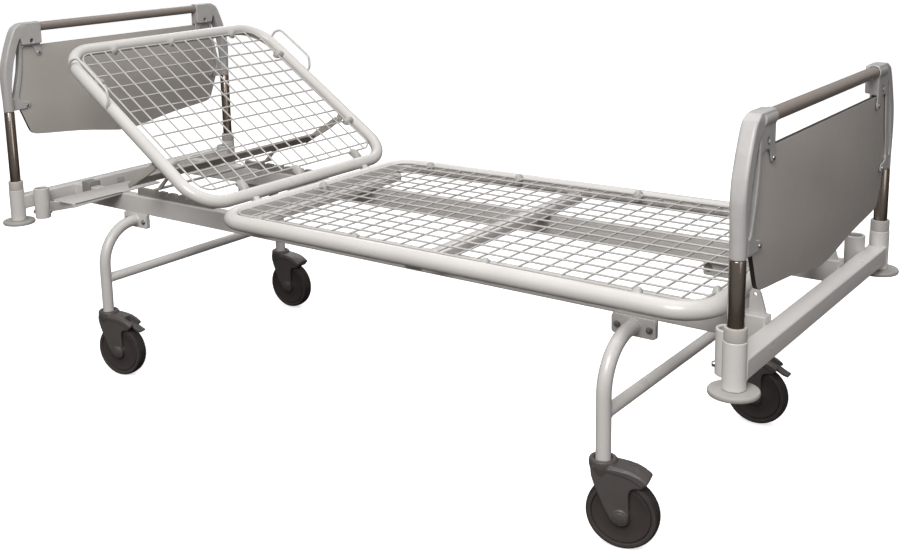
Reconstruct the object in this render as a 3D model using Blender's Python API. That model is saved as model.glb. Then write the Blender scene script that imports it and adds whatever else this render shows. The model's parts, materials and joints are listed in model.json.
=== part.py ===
"""Adjustable hospital bed: wheeled frame, foot section, propped backrest and two end boards.

Metres, +Z up, floor at Z = 0. +X runs towards the foot end, +Y towards the far side.
"""

import math

import bmesh
import bpy
from mathutils import Matrix, Vector

for old in list(bpy.data.objects):
    bpy.data.objects.remove(old, do_unlink=True)

# Direction of each end along X and of each side along Y
ENDS = {"foot": 1, "head": -1}
SIDES = {"far": 1, "near": -1}
BOTH = (1, -1)

# ---------------------------------------------------------------- shared dimensions
POST_X, POST_Y, POST_R = 1.045, 0.4151, 0.0144
RAIL_Y, RAIL_Z = (0.196, 0.226), (0.431, 0.481)
ABOVE_RAIL_Z = RAIL_Z[1] + 0.0005  # underside of the parts resting over the rails
LEG_X = {1: 0.765, -1: -0.758}
LEG_Y = {1: 0.352, -1: 0.347}
HINGE_X, HINGE_Z = -0.300, 0.516
HINGE_Y = {"near": -0.200, "far": 0.240}
PIN_R, PIN_BORE = 0.0040, 0.0044
CUT_OVERRUN = 0.01

# ---------------------------------------------------------------- materials
# name: (base colour, roughness, metallic)
FINISHES = {
    "enamel": ((0.62, 0.60, 0.57), 0.32, 0.0),
    "casting_grey": ((0.42, 0.41, 0.39), 0.45, 0.0),
    "chrome": ((0.55, 0.52, 0.50), 0.12, 1.0),
    "grip_grey": ((0.33, 0.30, 0.27), 0.45, 0.0),
    "laminate": ((0.26, 0.25, 0.23), 0.55, 0.0),
    "bumper_grey": ((0.38, 0.37, 0.35), 0.60, 0.0),
    "zinc": ((0.40, 0.40, 0.41), 0.38, 1.0),
    "dark_steel": ((0.14, 0.13, 0.12), 0.50, 0.6),
    "fork_plastic": ((0.085, 0.078, 0.074), 0.55, 0.0),
    "wheel_plastic": ((0.055, 0.050, 0.048), 0.50, 0.0),
    "tread": ((0.015, 0.014, 0.013), 0.75, 0.0),
}
SHARP_ANGLE = math.radians(32)


def make_material(name, colour, roughness, metallic):
    made = bpy.data.materials.new(name)
    made.use_nodes = True
    inputs = made.node_tree.nodes["Principled BSDF"].inputs
    inputs["Base Color"].default_value = (*colour, 1.0)
    inputs["Roughness"].default_value = roughness
    inputs["Metallic"].default_value = metallic
    return made


MATERIALS = {name: make_material(name, *values) for name, values in FINISHES.items()}


# ---------------------------------------------------------------- spans
def about(centre, half):
    """The span reaching half to each side of centre."""
    return centre - half, centre + half


def mirror(sign, span):
    """The span on the +1 or -1 side of zero."""
    return sign * span[0], sign * span[1]


# ---------------------------------------------------------------- mesh helpers
def new_object(bm):
    bmesh.ops.recalc_face_normals(bm, faces=bm.faces)
    mesh = bpy.data.meshes.new("piece")
    bm.to_mesh(mesh)
    bm.free()
    obj = bpy.data.objects.new("piece", mesh)
    bpy.context.scene.collection.objects.link(obj)
    return obj


def box(*spans):
    """A box from its x, y and z spans."""
    bm = bmesh.new()
    bmesh.ops.create_cube(bm, size=1.0)
    for vert in bm.verts:
        vert.co = [(a + b) / 2 + c * (b - a) for c, (a, b) in zip(vert.co, spans)]
    return new_object(bm)


def join_rings(bm, ring, following):
    """Faces between two rings of equal count."""
    for k in range(len(ring)):
        j = (k + 1) % len(ring)
        bm.faces.new((ring[k], ring[j], following[j], following[k]))


def sweep(path, radius, segments=12, closed=False):
    """A round bar along a list of points, mitred at its bends."""
    points = [Vector(p) for p in path]
    count = len(points)
    spans = count if closed else count - 1
    steps = [(points[(i + 1) % count] - points[i]).normalized() for i in range(spans)]
    bm = bmesh.new()
    rings = []
    up = None
    for i, point in enumerate(points):
        step_in = steps[i - 1] if i or closed else steps[0]
        step_out = steps[min(i, spans - 1)]
        tangent = (step_in + step_out).normalized()
        stretch = 1.0 / tangent.dot(step_out)
        if up is None:
            up = Vector((0, 0, 1)) if abs(tangent.z) < 0.9 else Vector((1, 0, 0))
        up = (up - tangent * up.dot(tangent)).normalized()
        side = tangent.cross(up)
        ring = []
        for k in range(segments):
            angle = math.pi / segments + 2 * math.pi * k / segments
            ring.append(point + (math.cos(angle) * side + math.sin(angle) * up) * radius)
        if stretch > 1.0001:
            out = (step_out - step_in).normalized()
            ring = [q + out * (q - point).dot(out) * (stretch - 1.0) for q in ring]
        rings.append([bm.verts.new(q) for q in ring])
    for i in range(spans):
        join_rings(bm, rings[i], rings[(i + 1) % count])
    if not closed:
        bm.faces.new(rings[0])
        bm.faces.new(rings[-1])
    return new_object(bm)


def cross_bar(x, z, y_span, radius, segments=12):
    return sweep([(x, y, z) for y in y_span], radius, segments)


def upright(x, y, z_span, radius, segments):
    return sweep([(x, y, z) for z in z_span], radius, segments)


def plate(points, span, axis="y"):
    """A flat outline extruded along an axis: (x, z) points for y, (y, z) points for x."""
    bm = bmesh.new()
    low, high = (
        [bm.verts.new((u, depth, v) if axis == "y" else (depth, u, v)) for u, v in points]
        for depth in span
    )
    bm.faces.new(low)
    bm.faces.new(high)
    join_rings(bm, low, high)
    return new_object(bm)


def turned(profile, segments, axis="z", centre=(0, 0, 0)):
    """A closed profile of (radius, height) points turned about the z or y axis."""
    bm = bmesh.new()
    rings = []
    for k in range(segments):
        angle = 2 * math.pi * (k + 0.5) / segments
        ring = []
        for radius, height in profile:
            across, along = radius * math.cos(angle), radius * math.sin(angle)
            point = (across, along, height) if axis == "z" else (across, height, along)
            ring.append(bm.verts.new(Vector(point) + Vector(centre)))
        rings.append(ring)
    for k in range(segments):
        join_rings(bm, rings[k], rings[(k + 1) % segments])
    return new_object(bm)


def ring_profile(inner, outer, half):
    return [(outer, -half), (outer, half), (inner, half), (inner, -half)]


def rounded_loop(x_span, half_width, z, radius, steps=5):
    """A level rectangle with round corners, centred on Y = 0."""
    x0, x1 = x_span[0] + radius, x_span[1] - radius
    y1 = half_width - radius
    points = []
    for x, y, start in ((x1, y1, 0), (x0, y1, 90), (x0, -y1, 180), (x1, -y1, 270)):
        for k in range(steps + 1):
            angle = math.radians(start + 90 * k / steps)
            points.append((x + radius * math.cos(angle), y + radius * math.sin(angle), z))
    return points


def capsule(first, last, radius, steps=8):
    """Outline of a strap with round ends between two (x, z) points."""
    heading = math.atan2(last[1] - first[1], last[0] - first[0])
    points = []
    for (x, z), start in ((last, heading - math.pi / 2), (first, heading + math.pi / 2)):
        for k in range(steps + 1):
            angle = start + math.pi * k / steps
            points.append((x + radius * math.cos(angle), z + radius * math.sin(angle)))
    return points


def combine(base, joins=(), cuts=()):
    """Joins and cuts with the exact solver, and keeps the result as one mesh."""
    for operation, others in (("UNION", joins), ("DIFFERENCE", cuts)):
        for other in others:
            step = base.modifiers.new(operation, "BOOLEAN")
            step.operation = operation
            step.solver = "EXACT"
            step.object = other
    bpy.context.view_layer.update()
    graph = bpy.context.evaluated_depsgraph_get()
    mesh = bpy.data.meshes.new_from_object(base.evaluated_get(graph))
    base.modifiers.clear()
    base.data = mesh
    bm = bmesh.new()
    bm.from_mesh(mesh)
    bmesh.ops.remove_doubles(bm, verts=bm.verts, dist=0.00001)
    bmesh.ops.dissolve_degenerate(bm, edges=bm.edges, dist=0.000005)
    bm.to_mesh(mesh)
    bm.free()
    for other in (*joins, *cuts):
        bpy.data.objects.remove(other, do_unlink=True)
    return base


def finish(obj, name, material, smooth=True, origin=(0, 0, 0), place=Matrix()):
    """Names a piece, gives it its material, moves its origin and puts it in place."""
    obj.name = name
    obj.data.name = name
    obj.data.transform(Matrix.Translation(-Vector(origin)))
    obj.matrix_world = place @ Matrix.Translation(Vector(origin))
    obj.data.materials.clear()
    obj.data.materials.append(MATERIALS[material])
    if smooth:
        obj.data.shade_smooth()
        obj.data.set_sharp_from_angle(angle=SHARP_ANGLE)


def build_pin(name, x, y_span, z):
    """A pin along Y with its origin at mid length."""
    pin = cross_bar(x, z, y_span, PIN_R)
    finish(pin, name, "zinc", origin=(x, sum(y_span) / 2, z))


# ---------------------------------------------------------------- main frame
RAIL_FOOT_SETBACK = 0.008
# End beams: x span, z span
END_BEAMS = (((1.025, 1.065), (0.4285, 0.4670)), ((-1.065, -1.029), (0.4440, 0.4828)))
# Upright corner tubes: x, y, outer radius, bore radius, z span, segments
CORNER_TUBES = (
    (POST_X, POST_Y, 0.0207, 0.0156, (0.4134, 0.5010), 16),
    (1.0095, 0.3580, 0.0215, 0.0165, (0.4120, 0.4985), 14),
)
# Ear above each rail at the foot end: (x, z)
EAR = [
    (0.9720, 0.4700), (1.0200, 0.4700), (1.0200, 0.4860), (1.0100, 0.5200), (1.0055, 0.5265),
    (0.9975, 0.5285), (0.9915, 0.5250), (0.9892, 0.5180), (0.9892, 0.4870), (0.9720, 0.4840),
]
EAR_Y, EAR_HALF = 0.2055, 0.003
EAR_HOLE_X, EAR_HOLE_Z, EAR_HOLE_R = 0.9995, 0.515, 0.0050
# Plates on the outer faces of the rails, to which the leg frames bolt
LUG_HALF, LUG_Y, LUG_Z = 0.048, (0.2195, 0.2255), (0.391, 0.446)
LUG_HOLE_Y = (0.210, 0.236)
BOLT_DX, BOLT_Z, BOLT_HOLE_R = 0.035, 0.410, 0.0046


def bolt_holes(end, side, y_span):
    return [
        cross_bar(x, BOLT_Z, mirror(side, y_span), BOLT_HOLE_R, 8)
        for x in about(LEG_X[end], BOLT_DX)
    ]


def build_main_frame():
    rail_x = (-POST_X, POST_X - RAIL_FOOT_SETBACK)
    base, far_rail = [box(rail_x, mirror(side, RAIL_Y), RAIL_Z) for side in (-1, 1)]
    joins, cuts = [far_rail], []
    for x_span, z_span in END_BEAMS:
        joins.append(box(x_span, (-POST_Y, POST_Y), z_span))
    for end in BOTH:
        for side in BOTH:
            for x, y, radius, bore, (z0, z1), segments in CORNER_TUBES:
                centre = (end * x, side * y)
                joins.append(upright(*centre, (z0, z1), radius, segments))
                bore_z = (z0 - CUT_OVERRUN, z1 + CUT_OVERRUN)
                cuts.append(upright(*centre, bore_z, bore, segments))
    for side in BOTH:
        y = side * EAR_Y
        joins.append(plate(EAR, about(y, EAR_HALF)))
        cuts.append(cross_bar(EAR_HOLE_X, EAR_HOLE_Z, about(y, CUT_OVERRUN), EAR_HOLE_R, 8))
        for end in BOTH:
            joins.append(box(about(LEG_X[end], LUG_HALF), mirror(side, LUG_Y), LUG_Z))
            cuts += bolt_holes(end, side, LUG_HOLE_Y)
    finish(combine(base, joins, cuts), "main_frame", "enamel")


# ---------------------------------------------------------------- leg frames
LEG_R, LEG_BEND_R, LEG_BOTTOM_Z, LEG_TOP_Z, LEG_TIP_Y = 0.015, 0.105, 0.1765, 0.412, 0.2295
LEG_BEND_STEP = 18  # degrees
LEG_BAR_R, LEG_BAR_Z, LEG_BAR_SETBACK = 0.0128, 0.270, 0.004
# Bolting flange: (x from the leg, z)
FLANGE = [
    (-0.048, 0.396), (-0.043, 0.391), (0.043, 0.391), (0.048, 0.396),
    (0.048, 0.440), (0.040, 0.452), (-0.040, 0.452), (-0.048, 0.440),
]
FLANGE_Y, FLANGE_HOLE_Y = (0.2264, 0.2314), (0.215, 0.245)
# Bolt parts, shank first: y span, radius, segments
BOLT_PARTS = (
    ((0.2100, 0.2340), 0.0040, 8),
    ((0.2318, 0.2385), 0.0072, 6),
    ((0.2120, 0.2190), 0.0072, 6),
)


def leg(x, y, side):
    """A leg rising from its caster and bending inwards to the rail."""
    path = [(x, side * y, LEG_BOTTOM_Z)]
    for degrees in range(0, 91, LEG_BEND_STEP):
        angle = math.radians(degrees)
        path.append((
            x,
            side * (y - LEG_BEND_R + LEG_BEND_R * math.cos(angle)),
            LEG_TOP_Z - LEG_BEND_R + LEG_BEND_R * math.sin(angle),
        ))
    path.append((x, side * LEG_TIP_Y, LEG_TOP_Z))
    return sweep(path, LEG_R)


def build_leg_frame(tag, end):
    x, y = LEG_X[end], LEG_Y[end]
    joins, cuts = [], []
    for side in (-1, 1):
        joins.append(plate([(x + dx, z) for dx, z in FLANGE], mirror(side, FLANGE_Y)))
        cuts += bolt_holes(end, side, FLANGE_HOLE_Y)
    joins.append(leg(x, y, 1))
    joins.append(cross_bar(x, LEG_BAR_Z, about(0, y - LEG_BAR_SETBACK), LEG_BAR_R))
    finish(combine(leg(x, y, -1), joins, cuts), f"{tag}_leg_frame", "enamel")


def build_leg_bolts(end_tag, end):
    for side_tag, side in SIDES.items():
        for tag, outward in (("inner", -1), ("outer", 1)):
            x = LEG_X[end] + outward * BOLT_DX * end
            shank, *others = [
                cross_bar(x, BOLT_Z, mirror(side, y_span), radius, segments)
                for y_span, radius, segments in BOLT_PARTS
            ]
            name = f"leg_bolt_{side_tag}_{end_tag}_{tag}"
            finish(combine(shank, others), name, "zinc", smooth=False)


# ---------------------------------------------------------------- wire meshes and their tabs
WIRE, WIRE_PITCH = 0.0046, 0.100
WIRE_INSET, WIRE_LIFT = 0.036, 0.006  # outer wires inwards of, and wires above, the frame tube
CORNER_DRAW = 0.011  # how far each corner of the mesh is drawn in
TAB_HALF, TAB_LENGTH = 0.011, WIRE_INSET + 0.005
TAB_BELOW, TAB_WIRE_GAP = 0.0035, 0.0005


def grid_lines(low, high):
    count = max(1, round((high - low) / WIRE_PITCH))
    return [low + (high - low) * k / count for k in range(count + 1)]


def lattice(xs, ys, z):
    """A flat wire grid, centred at height z, with a square wire along every x and y."""
    grid_x, grid_y = (
        sorted(line + offset for line in lines for offset in about(0, WIRE / 2))
        for lines in (xs, ys)
    )
    columns, rows = len(grid_x) - 1, len(grid_y) - 1
    levels = about(z, WIRE / 2)
    bm = bmesh.new()
    verts = {}

    def vertex(i, j, level):
        if (i, j, level) not in verts:
            x, y = grid_x[i], grid_y[j]
            if (i < 2 or i >= columns - 1) and (j < 2 or j >= rows - 1):
                x += CORNER_DRAW if i < 2 else -CORNER_DRAW
                y += CORNER_DRAW if j < 2 else -CORNER_DRAW
            verts[i, j, level] = bm.verts.new((x, y, levels[level]))
        return verts[i, j, level]

    def solid(i, j):
        return 0 <= i < columns and 0 <= j < rows and (i % 2 == 0 or j % 2 == 0)

    for i in range(columns):
        for j in range(rows):
            if not solid(i, j):
                continue
            corners = [(i, j), (i + 1, j), (i + 1, j + 1), (i, j + 1)]
            for level in (0, 1):
                bm.faces.new([vertex(*corner, level) for corner in corners])
            # A wall on each edge with no wire beyond it, in the order of the corners
            for k, (di, dj) in enumerate(((0, -1), (1, 0), (0, 1), (-1, 0))):
                if not solid(i + di, j + dj):
                    a, b = corners[k], corners[(k + 1) % 4]
                    bm.faces.new((vertex(*a, 0), vertex(*b, 0), vertex(*b, 1), vertex(*a, 1)))
    return new_object(bm)


def wire_mesh(x_span, half_width, frame_z):
    """The lattice inside a tube frame."""
    inner = half_width - WIRE_INSET
    xs = grid_lines(x_span[0] + WIRE_INSET, x_span[1] - WIRE_INSET)
    return lattice(xs, grid_lines(-inner, inner), frame_z + WIRE_LIFT)


def tab_z(frame_z):
    return frame_z - TAB_BELOW, frame_z + WIRE_LIFT - WIRE / 2 - TAB_WIRE_GAP


def side_tabs(xs, half_width, frame_z):
    """Tabs inwards from both side tubes."""
    y_span = (half_width - TAB_LENGTH, half_width)
    return [
        box(about(x, TAB_HALF), mirror(side, y_span), tab_z(frame_z))
        for x in xs
        for side in BOTH
    ]


def end_tabs(edge_x, inward, ys, frame_z):
    """Tabs from one end tube; inward is the sign of their direction in x."""
    x_span = (edge_x, edge_x + inward * TAB_LENGTH)
    return [box(x_span, about(y, TAB_HALF), tab_z(frame_z)) for y in ys]


# ---------------------------------------------------------------- foot section
SECTION_X, SECTION_Y, SECTION_Z = (-0.2726, 0.965), 0.366, 0.514
SECTION_R, SECTION_CORNER = 0.0188, 0.075
# Cross bars under the tubes: x span, half length
SECTION_BARS = (((0.290, 0.330), SECTION_Y), ((-0.262, -0.224), SECTION_Y - 0.06))
SECTION_BAR_Z = (0.4822, 0.5045)
PAD_X, PAD_Y, PAD_HALF, PAD_TOP_Z = (0.935, SECTION_X[1]), 0.211, 0.014, 0.5050
SECTION_SIDE_TABS_X, SECTION_FOOT_TABS_Y = (-0.15, 0.143, 0.49, 0.81), (-0.196, 0.196)
# Each hinge has a pair of straps, between these distances from its middle
FORK_STRAP_R, FORK_STRAP_DY, FORK_BORE_HALF = 0.0098, (0.0095, 0.0145), 0.03


def build_foot_section():
    x0, x1 = SECTION_X
    loop = rounded_loop(SECTION_X, SECTION_Y, SECTION_Z, SECTION_CORNER)
    base = sweep(loop, SECTION_R, closed=True)
    joins = [box(x_span, about(0, half), SECTION_BAR_Z) for x_span, half in SECTION_BARS]
    for side in BOTH:
        joins.append(box(PAD_X, about(side * PAD_Y, PAD_HALF), (ABOVE_RAIL_Z, PAD_TOP_Z)))
    joins += side_tabs(SECTION_SIDE_TABS_X, SECTION_Y, SECTION_Z)
    joins += end_tabs(x1, -1, SECTION_FOOT_TABS_Y, SECTION_Z)
    joins += end_tabs(x0, 1, (0,), SECTION_Z)
    cuts = []
    strap = capsule((HINGE_X, HINGE_Z), (x0, SECTION_Z), FORK_STRAP_R)
    for y in HINGE_Y.values():
        for side in (-1, 1):
            joins.append(plate(strap, [y + side * dy for dy in FORK_STRAP_DY]))
        cuts.append(cross_bar(HINGE_X, HINGE_Z, about(y, FORK_BORE_HALF), PIN_BORE, 10))
    finish(combine(base, joins, cuts), "foot_section_frame", "enamel")
    mesh = wire_mesh(SECTION_X, SECTION_Y, SECTION_Z)
    finish(mesh, "foot_section_mesh", "enamel", smooth=False)


# ---------------------------------------------------------------- backrest
# Modelled flat about the hinge axis, reaching towards -X, then raised.
BACK_ANGLE = math.radians(34.3)
BACK_R, BACK_Y, BACK_LENGTH, BACK_CORNER = 0.0165, 0.3713, 0.632, 0.090
BACK_EDGE_X, BACK_Z = -0.0298, 0.0045  # centre line of the tube nearest the hinge
BACK_X = (BACK_EDGE_X - BACK_LENGTH, BACK_EDGE_X)
BACK_END_TABS_Y = (-0.210, 0.000, 0.245)
BACK_SIDE_TABS = (0.16, 0.49)  # distances from the hinge-end tube
BACK_STRAP_R, BACK_STRAP_HALF, BACK_BORE_HALF = 0.0078, 0.008, 0.012
HINGE_PIN_HALF = 0.0185
# Lug under each side tube, carrying the prop
PIVOT_X, PIVOT_Z = BACK_EDGE_X - 0.200, BACK_Z - 0.0265
LUG_R, PROP_LUG_Y, PROP_LUG_BORE_Y = 0.0095, (0.3575, 0.3635), (0.350, 0.372)
# Wire loop on each side tube: (distance from hinge-end tube, outwards, above)
SIDE_LOOP_R = 0.0034
SIDE_LOOP = [
    (0.395, 0.0120, 0.000), (0.395, 0.0175, 0.018), (0.415, 0.0175, 0.047),
    (0.552, 0.0175, 0.047), (0.572, 0.0175, 0.018), (0.572, 0.0120, 0.000),
]
RAISED = Matrix.Translation((HINGE_X, 0, HINGE_Z)) @ Matrix.Rotation(BACK_ANGLE, 4, "Y")


def build_backrest():
    base = sweep(rounded_loop(BACK_X, BACK_Y, BACK_Z, BACK_CORNER), BACK_R, closed=True)
    joins = end_tabs(BACK_X[1], -1, BACK_END_TABS_Y, BACK_Z)
    joins += end_tabs(BACK_X[0], 1, BACK_END_TABS_Y, BACK_Z)
    joins += side_tabs([BACK_EDGE_X - reach for reach in BACK_SIDE_TABS], BACK_Y, BACK_Z)
    cuts = []
    strap = capsule((0.0, 0.0), (BACK_EDGE_X, BACK_Z), BACK_STRAP_R)
    for y in HINGE_Y.values():
        joins.append(plate(strap, about(y, BACK_STRAP_HALF)))
        cuts.append(cross_bar(0.0, 0.0, about(y, BACK_BORE_HALF), PIN_BORE, 10))
    lug = capsule((PIVOT_X, PIVOT_Z), (PIVOT_X, BACK_Z), LUG_R)
    for side in BOTH:
        joins.append(plate(lug, mirror(side, PROP_LUG_Y)))
        cuts.append(cross_bar(PIVOT_X, PIVOT_Z, mirror(side, PROP_LUG_BORE_Y), PIN_BORE, 10))
        path = [
            (BACK_EDGE_X - reach, side * (BACK_Y + out), BACK_Z + rise)
            for reach, out, rise in SIDE_LOOP
        ]
        joins.append(sweep(path, SIDE_LOOP_R, 8))
    finish(combine(base, joins, cuts), "backrest_frame", "enamel", place=RAISED)
    mesh = wire_mesh(BACK_X, BACK_Y, BACK_Z)
    finish(mesh, "backrest_mesh", "enamel", smooth=False, place=RAISED)


def build_hinge_pins():
    for tag, y in HINGE_Y.items():
        build_pin(f"hinge_pin_{tag}", HINGE_X, about(y, HINGE_PIN_HALF), HINGE_Z)


# ---------------------------------------------------------------- prop frame
# Modelled about its pivot, reaching along -X to its toe bar.
PROP_LENGTH, PROP_TILT, PROP_RATIO = 0.2026, math.radians(-4.39), 2.1648
PROP_DIP = PROP_TILT + (PROP_RATIO - 1.0) * BACK_ANGLE
PROP_PIVOT = RAISED @ Vector((PIVOT_X, 0, PIVOT_Z))
PROP_PLACE = Matrix.Translation(PROP_PIVOT) @ Matrix.Rotation(-PROP_DIP, 4, "Y")
PROP_WEB = ((-0.146, -0.098), (-0.3505, 0.3505), (0.0052, 0.0128))  # x, y and z spans
# Arm from the pivot: (x, z)
PROP_ARM = [
    (0.0095, 0.0000), (0.0067, 0.0067), (0.0000, 0.0095), (-0.0300, 0.0108),
    (-0.0950, 0.0155), (-0.1460, 0.0150), (-0.1500, 0.0040), (-0.1000, -0.0010),
    (-0.0300, -0.0088), (0.0000, -0.0095), (0.0067, -0.0067),
]
# Toe from the web to the toe bar: (x, z)
PROP_TOE = [
    (-0.100, 0.0125), (-0.100, 0.0055), (-0.150, 0.0045),
    (-PROP_LENGTH + 0.0040, -0.0035), (-PROP_LENGTH - 0.0015, -0.0042),
    (-PROP_LENGTH - 0.0062, 0.0000), (-PROP_LENGTH - 0.0030, 0.0055), (-0.150, 0.0125),
]
PROP_ARM_Y, PROP_TOE_Y, PROP_BORE_Y = (0.3455, 0.3515), (0.2075, 0.2145), (0.335, 0.362)
TOE_BAR_HALF, TOE_BAR_R = 0.232, 0.0040
PROP_PIN_Y = (0.3420, 0.3672)
# Ratchet comb over each rail, its teeth running towards the head: (x, z) points
COMB_Y, COMB_TOP = (0.2050, 0.2170), 0.5020
COMB_FOOT_END = [(-0.452, ABOVE_RAIL_Z), (-0.452, COMB_TOP)]
COMB_HEAD_END = [(-0.752, COMB_TOP), (-0.757, 0.4965), (-0.757, ABOVE_RAIL_Z)]
NOTCH = [(0, COMB_TOP), (-0.0015, 0.4935), (-0.0105, 0.4935), (-0.0140, COMB_TOP)]
NOTCH_X, NOTCH_PITCH, NOTCH_COUNT = -0.467, 0.040, 6


def build_prop_frame():
    joins, cuts = [], []
    for side in BOTH:
        joins.append(plate(PROP_ARM, mirror(side, PROP_ARM_Y)))
        joins.append(plate(PROP_TOE, mirror(side, PROP_TOE_Y)))
        cuts.append(cross_bar(0, 0, mirror(side, PROP_BORE_Y), PIN_BORE, 10))
    joins.append(cross_bar(-PROP_LENGTH, 0, about(0, TOE_BAR_HALF), TOE_BAR_R, 10))
    frame = combine(box(*PROP_WEB), joins, cuts)
    finish(frame, "prop_frame", "dark_steel", place=PROP_PLACE)


def build_prop_pins():
    for tag, side in SIDES.items():
        build_pin(f"prop_pin_{tag}", PROP_PIVOT.x, mirror(side, PROP_PIN_Y), PROP_PIVOT.z)


def build_ratchet_combs():
    notches = [
        (NOTCH_X - NOTCH_PITCH * k + dx, z) for k in range(NOTCH_COUNT) for dx, z in NOTCH
    ]
    outline = COMB_FOOT_END + notches + COMB_HEAD_END
    for tag, side in SIDES.items():
        comb = plate(outline, mirror(side, COMB_Y))
        finish(comb, f"ratchet_comb_{tag}", "dark_steel", smooth=False)


# ---------------------------------------------------------------- tray and clamp, near head corner
TRAY = ((-0.905, -0.812), (-0.394, -0.085), (0.4818, 0.4862))  # x, y and z spans
# Lip under the foot-side edge of the tray: (y, z)
TRAY_LIP = [(-0.394, 0.4860), (-0.394, 0.4740), (-0.2275, 0.4790), (-0.2275, 0.4860)]
TRAY_LIP_X = (-0.818, -0.812)
# Arm from the corner tube to the tray: (distance along the arm, z)
TRAY_ARM = [
    (0.0000, 0.4290), (0.0000, 0.4605), (0.1400, 0.4785),
    (0.1540, 0.4850), (0.1760, 0.4850), (0.1760, 0.4735),
]
TRAY_ARM_START, TRAY_ARM_TURN, TRAY_ARM_HALF = (-0.98865, -0.34566, 0.0), -0.2614, 0.0020
# Clamp saddle over the near rail: (y, z)
CLAMP = [
    (-0.2305, 0.4450), (-0.2265, 0.4450), (-0.2265, 0.4815), (-0.1955, 0.4815),
    (-0.1955, 0.4450), (-0.1915, 0.4450), (-0.1915, 0.4920), (-0.1945, 0.4950),
    (-0.2275, 0.4950), (-0.2305, 0.4920),
]
CLAMP_X = (-0.990, -0.955)


def build_head_tray():
    lip = plate(TRAY_LIP, TRAY_LIP_X, "x")
    arm = plate(TRAY_ARM, about(0, TRAY_ARM_HALF))
    turn = Matrix.Rotation(TRAY_ARM_TURN, 4, "Z")
    arm.data.transform(Matrix.Translation(TRAY_ARM_START) @ turn)
    finish(combine(box(*TRAY), [lip, arm]), "head_tray", "enamel")


def build_head_rail_clamp():
    finish(plate(CLAMP, CLAMP_X, "x"), "head_rail_clamp", "bumper_grey")


# ---------------------------------------------------------------- head and foot boards
CASTING_Z = {1: 0.6444, -1: 0.7231}  # top of the posts
# Casting outlines on the far side: (y, z above the post top)
WALL = [
    (0.4298, 0.0000), (0.4302, 0.0750), (0.4292, 0.1000), (0.4262, 0.1185), (0.4215, 0.1385),
    (0.4150, 0.1590), (0.4075, 0.1800), (0.3990, 0.2000), (0.3910, 0.2180), (0.3840, 0.2290),
    (0.3750, 0.2375), (0.3620, 0.2420), (0.3450, 0.2432), (0.2962, 0.2420), (0.2962, 0.1800),
    (0.3610, 0.1800), (0.3695, 0.1900), (0.3780, 0.1650), (0.3850, 0.1300), (0.3910, 0.1000),
    (0.3960, 0.0700), (0.4000, 0.0400), (0.4000, 0.0006),
]
RIB = [
    (0.4100, 0.0008), (0.4100, 0.0700), (0.3900, 0.1400), (0.3720, 0.2150), (0.3500, 0.2330),
    (0.2970, 0.2330), (0.2960, 0.1690), (0.2935, 0.1590), (0.2960, 0.1510), (0.3025, 0.1470),
    (0.3095, 0.1490), (0.3150, 0.1580), (0.3200, 0.1740), (0.3560, 0.1740), (0.3575, 0.1700),
    (0.3600, 0.1300), (0.3655, 0.0920), (0.3750, 0.0560), (0.3800, 0.0360), (0.3760, 0.0265),
    (0.3480, 0.0190), (0.3440, 0.0150), (0.3440, 0.0070), (0.3480, 0.0030), (0.3700, 0.0012),
    (0.3990, 0.0000),
]
WINDOW = [
    (0.3660, 0.2000), (0.3672, 0.1750), (0.3690, 0.1500), (0.3745, 0.1126), (0.3800, 0.0900),
    (0.3855, 0.0700), (0.3940, 0.0430), (0.3990, 0.0340), (0.4045, 0.0335), (0.4085, 0.0400),
    (0.4090, 0.0530), (0.4070, 0.0750), (0.4025, 0.1025), (0.3965, 0.1300), (0.3880, 0.1567),
    (0.3780, 0.1810), (0.3700, 0.1985),
]
PANEL_SLOT = [
    (0.2000, 0.1795), (0.3632, 0.1795), (0.3635, 0.1700), (0.3675, 0.1300), (0.3740, 0.0900),
    (0.3775, 0.0600), (0.3785, 0.0300), (0.3772, -0.0020), (0.3772, -0.1000), (0.2000, -0.1000),
]
# Thickness of each in x, at the foot end
WALL_X, RIB_X, WINDOW_X = (1.0305, 1.0595), (1.0410, 1.0592), (1.0100, 1.0800)
PANEL_SLOT_X, PANEL_X = (1.0448, 1.0552), (1.0454, 1.0546)
HANDLE_X, HANDLE_RISE, HANDLE_R, HANDLE_HALF = 1.0470, 0.2280, 0.0127, 0.3290
HANDLE_BORE_R, HANDLE_BORE_Y = HANDLE_R + 0.0004, (0.2700, 0.3300)
GRIP_R, GRIP_Y = 0.0158, (0.2945, 0.3450)
SPIGOT_R, SPIGOT_BORE = 0.0108, 0.0112
# Z spans from the post top
SPIGOT_DZ, SPIGOT_BORE_DZ = (-0.0285, 0.0060), (-0.0300, 0.0200)
POST_BOTTOM_Z, POST_TOP_GAP = 0.4190, 0.0005
# Far half of the foot panel from bottom to top: (y, z)
PANEL = [
    (0.0000, 0.5300), (0.0600, 0.5350), (0.1300, 0.5480), (0.2300, 0.5590), (0.3000, 0.5660),
    (0.3350, 0.5700), (0.3500, 0.5800), (0.3560, 0.5950), (0.3762, 0.6440), (0.3775, 0.6744),
    (0.3765, 0.7044), (0.3730, 0.7344), (0.3665, 0.7744), (0.3625, 0.8144), (0.3620, 0.8215),
]


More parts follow.
